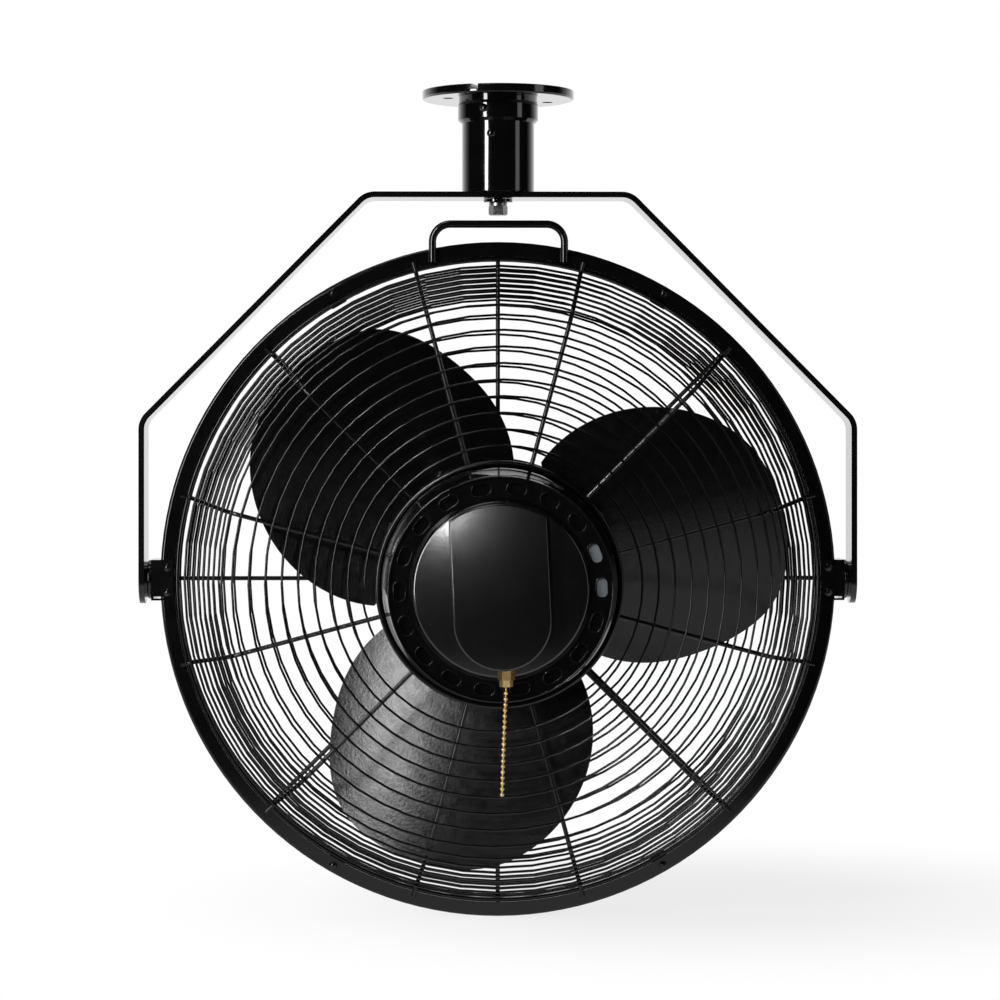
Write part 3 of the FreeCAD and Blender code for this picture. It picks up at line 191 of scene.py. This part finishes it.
beads = bmesh.new()
for place in bead_places:
    centre = Matrix.Translation(along(chain_line, place))
    bmesh.ops.create_uvsphere(beads, u_segments=BEAD_SEGMENTS, v_segments=BEAD_RINGS,
                              radius=BEAD_D / 2, matrix=centre)
for start, end in zip([0.0] + bead_places, bead_places):
    low, high = along(chain_line, start), along(chain_line, end)
    turn = (high - low).to_track_quat("Z", "Y").to_matrix().to_4x4()
    bmesh.ops.create_cone(beads, segments=LINK_SEGMENTS, radius1=LINK_D / 2, radius2=LINK_D / 2,
                          cap_ends=True, depth=(high - low).length,
                          matrix=Matrix.Translation((low + high) / 2) @ turn)
bead_chain = mesh_object("bead_chain", beads)
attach(bead_chain, "pull_chain_body")
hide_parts("pull_chain")
print("bead chain: %d beads on %.1f mm" % (bead_count, chain_length / MM))

# %% [markdown]
# ## The spiral wires
# Each guard is one long steel wire, wound in a spiral and welded to its spokes. The solids carry
# the wire with flats, which is enough to touch but shows in a highlight, so here the same winding
# is drawn as a round wire. A spiral that grows by half turns is a row of half circles: each one
# starts where the last one stopped, a little further out. The head's own millimetres are counted
# from the tilt pivot, and the head leans a little.

# %% Helpers for a wound wire
PIVOT = Vector((0, 0, -385.8)) * MM
HEAD_LEAN = math.radians(1.25)
HEAD = Matrix.Translation(PIVOT) @ Matrix.Rotation(HEAD_LEAN, 4, "X")
WIRE_D = 2.0 * MM
WIRE_BEVEL_STEPS = 2
HALF_TURN_STEPS = 26


def half_turns(stops, first_side):
    """Points on half circles through (radius, depth) stops on alternate sides, top half first."""
    points = []
    last = len(stops) - 2
    for i, ((r0, y0), (r1, y1)) in enumerate(zip(stops, stops[1:])):
        flip = (-1) ** i
        side = first_side * flip
        middle, radius = side * (r0 - r1) / 2, (r0 + r1) / 2
        for k in range(HALF_TURN_STEPS + (i == last)):
            turn = math.pi * k / HALF_TURN_STEPS
            x = middle + side * radius * math.cos(turn)
            z = radius * math.sin(turn) * flip
            points.append(Vector((x, y0 + (y1 - y0) * k / HALF_TURN_STEPS, z)))
    return points


def round_wire(name, lines, diameter, closed=False):
    """Round wires of that diameter along lines of points in the head's own millimetres."""
    lines = [[HEAD @ (point * MM) for point in points] for points in lines]
    section = {"bevel_depth": diameter / 2, "bevel_resolution": WIRE_BEVEL_STEPS,
               "use_fill_caps": True}
    mesh = curve_mesh(name, lines, "POLY", section,
                      {"use_smooth": True, "use_cyclic_u": closed})
    return link_mesh(name, mesh)


# %% [markdown]
# The front winding lies flat across the face, turns over a shoulder and runs down the side to the
# hoop. Distances are measured along that profile, so the turns close up as they go over the edge.

# %% Front winding
FACE_Y, FOOT_Y = -77.5, -13.77
SHOULDER_R, FOOT_R, SHOULDER_BEND, WIRE_STEP = 215.0, 249.5, 17.2, 2.77
FIRST_R, OPEN_PITCH, SIDE_PITCH, FOOT_BEND = 103.6, 12.7, 8.5, 5.0

side_drop, side_reach = FOOT_Y - FACE_Y - WIRE_STEP, FOOT_R - SHOULDER_R
fall = math.atan2(side_drop, side_reach)
bend_r = SHOULDER_R - SHOULDER_BEND * math.tan(fall / 2)
flat_run, bend = bend_r - FIRST_R, SHOULDER_BEND + WIRE_STEP
side_run = math.hypot(side_reach, side_drop) - (SHOULDER_BEND + FOOT_BEND) * math.tan(fall / 2)

front_stops, run = [], 0.0
while run <= flat_run + bend * fall + side_run:
    over = min(max(0.0, run - flat_run) / bend, fall)
    down = max(0.0, run - flat_run - bend * fall)
    radius = FIRST_R + min(run, flat_run) + bend * math.sin(over) + down * math.cos(fall)
    depth = FACE_Y + bend * (1 - math.cos(over)) + down * math.sin(fall)
    front_stops.append((radius, depth))
    run += (OPEN_PITCH if run < flat_run else SIDE_PITCH) / 2

front_wire = round_wire("front_wire", [half_turns(front_stops, -1)], WIRE_D)
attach(front_wire, "fan_head")
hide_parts("front_guard_spiral")
print("front winding: %.1f turns" % ((len(front_stops) - 1) / 2))

# %% [markdown]
# The rear winding is flat. Its turns are as open as the front's at first, and close near the
# hoop. Both windings are then measured against the solids that they stand for.

# %% Rear winding
REAR_Y, REAR_FIRST_R = 16.54, 102.7
CLOSE_R, CLOSE_PITCH, CLOSE_TURNS = 216.05, 4.1, 8
OPEN_STEPS = 18

open_step = (CLOSE_R - REAR_FIRST_R) / OPEN_STEPS
rear_radii = [REAR_FIRST_R + open_step * i for i in range(OPEN_STEPS)]
rear_radii += [CLOSE_R + CLOSE_PITCH / 2 * i for i in range(2 * CLOSE_TURNS + 1)]
rear_wire = round_wire("rear_wire", [half_turns([(r, REAR_Y) for r in rear_radii], 1)], WIRE_D)
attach(rear_wire, "fan_head")
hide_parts("rear_guard_spiral")

for wire, node in ((front_wire, "front_guard_spiral"), (rear_wire, "rear_guard_spiral")):
    low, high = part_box(node)
    places = [wire.matrix_world @ vertex.co for vertex in wire.data.vertices]
    gaps = []
    for k in range(3):
        row = [place[k] for place in places]
        gaps.append(max(abs(min(row) - low[k]), abs(max(row) - high[k])))
    print(wire.name, "against its solid, mm:", [round(gap / MM, 2) for gap in gaps])

# %% [markdown]
# ## Lips of the vent slots
# The motor's front sheet is pierced by a ring of round-ended slots. A punch rolls the sheet's
# edge a little, and that thin rolled lip is what catches the light on a black motor. The lip
# could be a bevel on the sheet, but the solids stay untouched, so a fine round bead is laid along
# each edge.

# %% Vent lips
VENT_COUNT, VENT_TURN, VENT_R = 18, 1.0, 76.0
VENT_LENGTH, VENT_W, VENT_Y = 15.0, 8.6, -133.9
LIP_D, LIP_STEPS = 0.7, 10


def slot_edge(turn):
    """The edge of one slot, long across the radius, at that angle around the motor."""
    out = Vector((math.cos(turn), 0, math.sin(turn)))
    across = Vector((-math.sin(turn), 0, math.cos(turn)))
    middle = out * VENT_R + Vector((0, VENT_Y, 0))
    reach, end = VENT_W / 2 + LIP_D / 4, (VENT_LENGTH - VENT_W) / 2
    edge = []
    for side in (1, -1):
        for k in range(LIP_STEPS + 1):
            swing = math.pi * k / LIP_STEPS
            edge.append(middle + out * (side * reach * math.cos(swing))
                        + across * (side * (end + reach * math.sin(swing))))
    return edge


slot_turns = [math.radians(VENT_TURN + 360 * i / VENT_COUNT) for i in range(VENT_COUNT)]
vent_lips = round_wire("vent_lips", [slot_edge(turn) for turn in slot_turns], LIP_D * MM, True)
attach(vent_lips, "fan_head")
print("vent lips:", len(slot_turns), "slots")

# %% [markdown]
# ## The motor's flared skirt
# Behind its rim the housing widens towards the guard in a long shallow cone with one step. From
# ahead only a narrow band of it shows, at so flat an angle that the black paint mirrors the white
# room between the blades. Such a shell is spun from sheet on a lathe, and here its outline is
# turned about the motor's axis in the same way. The lead's rubber gland stands in the skirt, and
# behind two of the slots a bare cast clamp shows pale.

# %% Skirt, gland and clamp
SKIRT = [(83.1, -126.4), (84.7, -124.2), (85.2, -122.5), (88.6, -96.0), (89.2, -95.2),
         (91.3, -78.0), (91.5, -73.1)]
GLAND = [(2.75, 86.5), (5.0, 86.5), (5.0, 88.6), (4.5, 89.0), (3.2, 89.0), (2.75, 88.6),
         (2.75, 86.5)]
GLAND_Y, GLAND_TURN = -102.0, math.radians(60.0)
CLAMP = [(70.5, -129.1), (81.0, -129.1), (81.0, -129.8), (70.5, -129.8), (70.5, -129.1)]
CLAMP_START, CLAMP_SWEEP = -8.5, 39.0
SKIRT_STEPS, GLAND_STEPS, CLAMP_STEPS = 180, 40, 24
WELD_MM = 0.01
SHARP_FROM = math.radians(35)


def turned(name, outline, steps, place=Matrix(), start=0.0, sweep=360.0):
    """Turn an outline of (radius, depth) points about the head's own axis, in millimetres."""
    shape, first = bmesh.new(), math.radians(start)
    line = [shape.verts.new((r * math.cos(first), y, r * math.sin(first))) for r, y in outline]
    edges = [shape.edges.new(pair) for pair in zip(line, line[1:])]
    bmesh.ops.spin(shape, geom=line + edges, cent=(0, 0, 0), axis=(0, -1, 0),
                   angle=math.radians(sweep), steps=steps)
    bmesh.ops.remove_doubles(shape, verts=shape.verts, dist=WELD_MM)
    if sweep < 360:
        bmesh.ops.holes_fill(shape, edges=shape.edges)
    bmesh.ops.recalc_face_normals(shape, faces=shape.faces)
    bmesh.ops.transform(shape, matrix=HEAD @ Matrix.Scale(MM, 4) @ place, verts=shape.verts)
    thing = mesh_object(name, shape)
    thing.data.set_sharp_from_angle(angle=SHARP_FROM)
    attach(thing, "fan_head")
    return thing


motor_skirt = turned("motor_skirt", SKIRT, SKIRT_STEPS)
gland_out = Vector((math.cos(GLAND_TURN), 0, math.sin(GLAND_TURN)))
gland_turn = gland_out.to_track_quat("Y", "Z").to_matrix().to_4x4()
gland_place = Matrix.Translation((0, GLAND_Y, 0)) @ gland_turn
lead_gland = turned("lead_gland", GLAND, GLAND_STEPS, gland_place)
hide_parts("cord_gland")
slot_clamp = turned("slot_clamp", CLAMP, CLAMP_STEPS, start=CLAMP_START, sweep=CLAMP_SWEEP)
print("skirt: %.1f mm across at the guard" % (2 * SKIRT[-1][0]))

# %% [markdown]
# ## Nodes for the finishes
# Noise in metres, taken from the object's own coordinates, is what makes a finish uneven. One
# helper spreads it over a range of roughness, one over two tones, and one lifts the surface by
# it.

# %% Helpers for finishes
NOISE_RANGE = (0.3, 0.7)
TINT_RANGE = (0.35, 0.65)


def nodes_of(name):
    """A new material, its node tree and its shader."""
    material = bpy.data.materials.new(name)
    material.use_nodes = True
    tree = material.node_tree
    return material, tree, tree.nodes["Principled BSDF"]


def noise(tree, size_mm, detail=3.0, stretch=None):
    """Noise in the object's own metres, with features about that many millimetres wide."""
    place = tree.nodes.new("ShaderNodeTexCoord")
    texture = tree.nodes.new("ShaderNodeTexNoise")
    texture.inputs["Scale"].default_value = 1 / (size_mm * MM)
    texture.inputs["Detail"].default_value = detail
    source = place.outputs["Object"]
    if stretch:
        mapping = tree.nodes.new("ShaderNodeMapping")
        mapping.inputs["Scale"].default_value = stretch
        tree.links.new(source, mapping.inputs["Vector"])
        source = mapping.outputs["Vector"]
    tree.links.new(source, texture.inputs["Vector"])
    return texture.outputs["Fac"]


def change(tree, value, start, end, low, high, kind="LINEAR"):
    """A change from low to high as the value goes from start to end."""
    ramp = tree.nodes.new("ShaderNodeMapRange")
    ramp.interpolation_type = kind
    limits = {"From Min": start, "From Max": end, "To Min": low, "To Max": high}
    for name, number in limits.items():
        ramp.inputs[name].default_value = number
    tree.links.new(value, ramp.inputs["Value"])
    return ramp.outputs["Result"]


def spread(tree, value, low, high):
    """Stretch a noise value over a range."""
    return change(tree, value, *NOISE_RANGE, low, high)


def tint(tree, value, dark, light):
    """Turn a noise value into a tone between two."""
    ramp = tree.nodes.new("ShaderNodeValToRGB")
    for stop, position, tone in zip(ramp.color_ramp.elements, TINT_RANGE, (dark, light)):
        stop.position = position
        stop.color = (*tone, 1)
    tree.links.new(value, ramp.inputs["Fac"])
    return ramp.outputs["Color"]


def lift(tree, shader, height, depth_mm):
    """Let a noise value raise the surface by up to that depth."""
    bump = tree.nodes.new("ShaderNodeBump")
    bump.inputs["Strength"].default_value = 1.0
    bump.inputs["Distance"].default_value = depth_mm * MM
    tree.links.new(height, bump.inputs["Height"])
    tree.links.new(bump.outputs["Normal"], shader.inputs["Normal"])


# %% [markdown]
# ## Black coats
# Nearly every piece is black, and only its gloss and grain tell them apart: a glossy neck, a
# satin hoop, leathery blades. One recipe makes them all, the plastic and the rubber too. A wide
# noise varies the tone, a smaller one the roughness, and a fine one is the grain, as powder coat
# has it when it flows. In the table stand each coat's tone, its least and most roughness, the
# width and the depth of its grain in millimetres, its clear coat and its specular level.

# %% Black coats
TONE_MM, GLOSS_MM = 18.0, 7.0
DARKER, LIGHTER = 0.8, 1.25
GRAIN_DETAIL = 4.0
CLEAR_COAT_ROUGHNESS = 0.06


def black_coat(name, tone, rough, grain_mm, grain_depth_mm, coat, specular):
    material, tree, shader = nodes_of(name)
    dark, light = (tuple(c * share for c in tone) for share in (DARKER, LIGHTER))
    tree.links.new(tint(tree, noise(tree, TONE_MM), dark, light), shader.inputs["Base Color"])
    tree.links.new(spread(tree, noise(tree, GLOSS_MM), *rough), shader.inputs["Roughness"])
    lift(tree, shader, noise(tree, grain_mm, GRAIN_DETAIL), grain_depth_mm)
    shader.inputs["Coat Weight"].default_value = coat
    shader.inputs["Coat Roughness"].default_value = CLEAR_COAT_ROUGHNESS
    shader.inputs["Specular IOR Level"].default_value = specular
    return material


COATS = {
    "gloss_black_paint": ((0.0020, 0.0020, 0.0021), (0.07, 0.12), 2.2, 0.004, 0.8, 0.5),
    "yoke_black_paint": ((0.0022, 0.0022, 0.0023), (0.18, 0.24), 1.6, 0.008, 0.8, 0.3),
    "hoop_black_powder": ((0.0020, 0.0020, 0.0021), (0.13, 0.17), 1.0, 0.012, 0.0, 0.5),
    "wire_black_coat": ((0.0018, 0.0018, 0.0019), (0.14, 0.20), 1.2, 0.006, 0.0, 0.5),
    "blade_black_powder": ((0.0014, 0.0014, 0.0016), (0.18, 0.24), 2.2, 0.10, 0.0, 0.6),
    "motor_black_gloss": ((0.0016, 0.0016, 0.0017), (0.10, 0.15), 1.8, 0.006, 0.0, 0.5),
    "cover_black_texture": ((0.0018, 0.0018, 0.0019), (0.182, 0.197), 0.9, 0.03, 0.0, 1.0),
    "black_plastic": ((0.020, 0.020, 0.021), (0.45, 0.55), 0.8, 0.02, 0.0, 0.35),
    "black_rubber": ((0.008, 0.008, 0.008), (0.60, 0.72), 0.6, 0.02, 0.0, 0.35),
}
FINISHES = {name: black_coat(name, *look) for name, look in COATS.items()}
print("black coats:", len(COATS))

# %% [markdown]
# ## Metals
# The swivel bolt is zinc plated, the chain is brass, and the parts inside the motor are ground
# steel, laminated iron, cast aluminium and varnished copper. Metal takes its colour from what it
# reflects, so its base stays plain and the roughness carries the brushing. A brushed metal also
# has a stretch, which draws its grain out in one direction.

# %% Metals
METAL_LIGHTER = 1.15
TONE_TO_GRAIN = 4
BRUSH_DETAIL, RELIEF_DETAIL = 2.0, 3.0


def bare_metal(name, tone, rough, grain_mm, grain_depth_mm, stretch=None):
    material, tree, shader = nodes_of(name)
    light = tuple(min(1.0, c * METAL_LIGHTER) for c in tone)
    tones = tint(tree, noise(tree, grain_mm * TONE_TO_GRAIN), tone, light)
    brushing = spread(tree, noise(tree, grain_mm, BRUSH_DETAIL, stretch), *rough)
    tree.links.new(tones, shader.inputs["Base Color"])
    tree.links.new(brushing, shader.inputs["Roughness"])
    lift(tree, shader, noise(tree, grain_mm, RELIEF_DETAIL, stretch), grain_depth_mm)
    shader.inputs["Metallic"].default_value = 1.0
    return material


METALS = {
    "zinc_steel": ((0.46, 0.46, 0.45), (0.24, 0.38), 1.2, 0.01),
    "machined_steel": ((0.50, 0.50, 0.51), (0.18, 0.30), 0.4, 0.004, (1, 12, 1)),
    "core_iron": ((0.16, 0.16, 0.17), (0.40, 0.55), 0.5, 0.02, (1, 20, 1)),
    "cast_aluminium": ((0.48, 0.48, 0.49), (0.42, 0.58), 1.0, 0.03),
    "dull_aluminium": ((0.17, 0.19, 0.21), (0.40, 0.60), 2.5, 0.12),
    "winding_copper": ((0.50, 0.20, 0.08), (0.25, 0.40), 0.8, 0.08),
    "chain_brass": ((0.86, 0.62, 0.28), (0.32, 0.42), 1.5, 0.004),
    "socket_brass": ((0.52, 0.35, 0.14), (0.30, 0.40), 1.5, 0.004),
}
FINISHES.update({name: bare_metal(name, *look) for name, look in METALS.items()})
print("metals:", len(METALS))

# %% [markdown]
# ## Dressing the fan
# Each node of the frame names its finish by its slot. The socket is a darker brass than the
# chain, and the pieces made above get theirs one by one.

# %% Dress every piece
def dress(thing, finish):
    thing.data.materials.clear()
    thing.data.materials.append(FINISHES[finish])


for name, node in NODES.items():
    dress(node, SLOT_OF[name])
dress(NODES["chain_socket"], "socket_brass")
dress(bead_chain, "chain_brass")
dress(front_wire, "wire_black_coat")
dress(rear_wire, "wire_black_coat")
dress(vent_lips, "motor_black_gloss")
dress(motor_skirt, "gloss_black_paint")
dress(lead_gland, "black_rubber")
dress(slot_clamp, "dull_aluminium")
print("finishes:", len(FINISHES), "on", len(NODES), "nodes")

# %% [markdown]
# ## The studio
# The fan rests its hoop on a white floor that runs into a white background. The floor shows the
# camera its own white, with a share of real diffuse light near the fan, so that a faint shadow
# stays. Reflections see a floor and a world that are white behind the fan and dark on the
# camera's side, because black gloss shows whatever stands in front of it.

# %% Floor
FLOOR_HALF = 9.0
FLOOR_DROP = 0.3 * MM
PAPER_MM, PAPER_ROUGHNESS = 400.0, 0.9
PAPER_DARK, PAPER_LIGHT = (0.86, 0.86, 0.86), (0.88, 0.88, 0.88)

floor_z = CAD_BOX[0][2] - FLOOR_DROP
floor_mesh = bmesh.new()
bmesh.ops.create_grid(floor_mesh, x_segments=1, y_segments=1, size=FLOOR_HALF,
                      matrix=Matrix.Translation((0, 0, floor_z)))
floor = mesh_object("studio_floor", floor_mesh, False)

paper, paper_tree, paper_shader = nodes_of("white_paper")
floor.data.materials.append(paper)
paper_tones = tint(paper_tree, noise(paper_tree, PAPER_MM), PAPER_DARK, PAPER_LIGHT)
paper_tree.links.new(paper_tones, paper_shader.inputs["Base Color"])
paper_shader.inputs["Roughness"].default_value = PAPER_ROUGHNESS
print("floor at %.1f mm" % (floor_z / MM))

# %% [markdown]
# What the floor shows depends on the kind of ray. The camera sees its own white, less around the
# spot where the shadow falls. A reflection sees a strength that changes with the depth behind the
# fan or ahead of it.

# %% What the floor shows
SHADOW_SPOT = (0.16, 0.10, floor_z)
SHADOW_NEAR, SHADOW_FAR = 0.08, 0.48
OWN_WHITE_NEAR, OWN_WHITE_FAR = 0.78, 1.0
FLOOR_AHEAD = {"start": -0.80, "end": -0.35, "low": 0.02, "high": 0.60}
FLOOR_BEHIND = {"start": 0.3, "end": 1.5, "low": 0.0, "high": 1.0}


def fade(tree, value, start, end, low, high):
    """A smooth change from low to high as the value goes from start to end."""
    return change(tree, value, start, end, low, high, "SMOOTHSTEP")


def combine(tree, operation, a, b):
    node = tree.nodes.new("ShaderNodeMath")
    node.operation = operation
    tree.links.new(a, node.inputs[0])
    tree.links.new(b, node.inputs[1])
    return node.outputs[0]


def ray_kinds(tree):
    """Whether a ray comes from the camera, and whether it comes from a reflection or glass."""
    rays = tree.nodes.new("ShaderNodeLightPath").outputs
    reflected = combine(tree, "MAXIMUM", rays["Is Glossy Ray"], rays["Is Transmission Ray"])
    return rays["Is Camera Ray"], reflected


floor_place = paper_tree.nodes.new("ShaderNodeTexCoord").outputs["Object"]
away = paper_tree.nodes.new("ShaderNodeVectorMath")
away.operation = "DISTANCE"
away.inputs[1].default_value = SHADOW_SPOT
paper_tree.links.new(floor_place, away.inputs[0])
floor_parts = paper_tree.nodes.new("ShaderNodeSeparateXYZ")
paper_tree.links.new(floor_place, floor_parts.inputs["Vector"])
floor_depth = floor_parts.outputs["Y"]

from_camera, reflected = ray_kinds(paper_tree)
own_white = fade(paper_tree, away.outputs["Value"], SHADOW_NEAR, SHADOW_FAR,
                 OWN_WHITE_NEAR, OWN_WHITE_FAR)
mirrored = combine(paper_tree, "MAXIMUM", fade(paper_tree, floor_depth, **FLOOR_AHEAD),
                   fade(paper_tree, floor_depth, **FLOOR_BEHIND))
glow = paper_tree.nodes.new("ShaderNodeEmission")
paper_tree.links.new(combine(paper_tree, "MAXIMUM", from_camera, mirrored), glow.inputs["Strength"])
share = combine(paper_tree, "MAXIMUM", reflected,
                combine(paper_tree, "MULTIPLY", from_camera, own_white))
blend = paper_tree.nodes.new("ShaderNodeMixShader")
paper_tree.links.new(share, blend.inputs["Fac"])
paper_tree.links.new(paper_shader.outputs["BSDF"], blend.inputs[1])
paper_tree.links.new(glow.outputs["Emission"], blend.inputs[2])
paper_out = paper_tree.nodes["Material Output"]
paper_tree.links.new(blend.outputs["Shader"], paper_out.inputs["Surface"])
print("floor material:", len(paper_tree.nodes), "nodes")

# %% [markdown]
# The world is plain white to the camera. It lights the fan evenly and weakly, and in a reflection
# it is bright behind the fan only.

# %% World
AMBIENT = 0.15
BACKDROP = {"start": 0.20, "end": 0.95, "low": 0.012, "high": 1.0}

world = bpy.data.worlds.new("white_studio")
bpy.context.scene.world = world
world.use_nodes = True
sky = world.node_tree
sky_direction = sky.nodes.new("ShaderNodeTexCoord").outputs["Generated"]
sky_parts = sky.nodes.new("ShaderNodeSeparateXYZ")
sky.links.new(sky_direction, sky_parts.inputs["Vector"])
to_camera, to_gloss = ray_kinds(sky)
backdrop = combine(sky, "MULTIPLY", to_gloss, fade(sky, sky_parts.outputs["Y"], **BACKDROP))
ambient = fade(sky, to_gloss, 0.0, 1.0, AMBIENT, 0.0)
strength = combine(sky, "MAXIMUM", combine(sky, "MAXIMUM", backdrop, ambient), to_camera)
sky.links.new(strength, sky.nodes["Background"].inputs["Strength"])
sky.nodes["Background"].inputs["Color"].default_value = (1, 1, 1, 1)
print("world:", world.name)

# %% [markdown]
# ## Lights
# A tall strip on the left draws the long highlights on the legs, the wires and the lower blade. A
# round soft lamp above on the left, with a snoot that keeps its beam on the motor, lights the
# upper corner of the motor's cover, and two weak panels keep the top and the right side from
# going black. Each is placed by where its reflection is wanted.

# %% Lights
SNOOT_BLEND = 0.8
FAN_MIDDLE = (0, 0, -0.35)
COVER_CORNER = (-0.035, -0.15, -0.345)
STRIP_AIM = (0, 0, 0.28)


def hung_lamp(name, kind, place, aim, watts):
    light = bpy.data.lights.new(name, kind)
    light.energy = watts
    lamp = bpy.data.objects.new(name, light)
    lamp.location = place
    lamp.rotation_euler = (Vector(aim) - Vector(place)).to_track_quat("-Z", "Y").to_euler()
    bpy.context.scene.collection.objects.link(lamp)
    return light


def soft_panel(name, place, aim, width, height, watts):
    light = hung_lamp(name, "AREA", place, aim, watts)
    light.shape = "RECTANGLE"
    light.size, light.size_y = width, height


def snooted_lamp(name, place, aim, radius, cone_degrees, watts):
    light = hung_lamp(name, "SPOT", place, aim, watts)
    light.shadow_soft_size = radius
    light.spot_size = math.radians(cone_degrees)
    light.spot_blend = SNOOT_BLEND


soft_panel("strip_left", (-1.23, -1.58, 0.28), STRIP_AIM, width=0.34, height=1.75, watts=31)
snooted_lamp("key_spot", (-0.52, -2.33, 0.22), COVER_CORNER, radius=0.16, cone_degrees=7.5,
             watts=125)
soft_panel("panel_top", (-0.3, 0.1, 1.3), FAN_MIDDLE, width=1.4, height=0.6, watts=6)
soft_panel("panel_right", (1.8, -0.9, 0.1), FAN_MIDDLE, width=0.5, height=1.4, watts=2.2)

bpy.context.scene.view_settings.view_transform = "Standard"
print("lights:", len(bpy.data.lights))
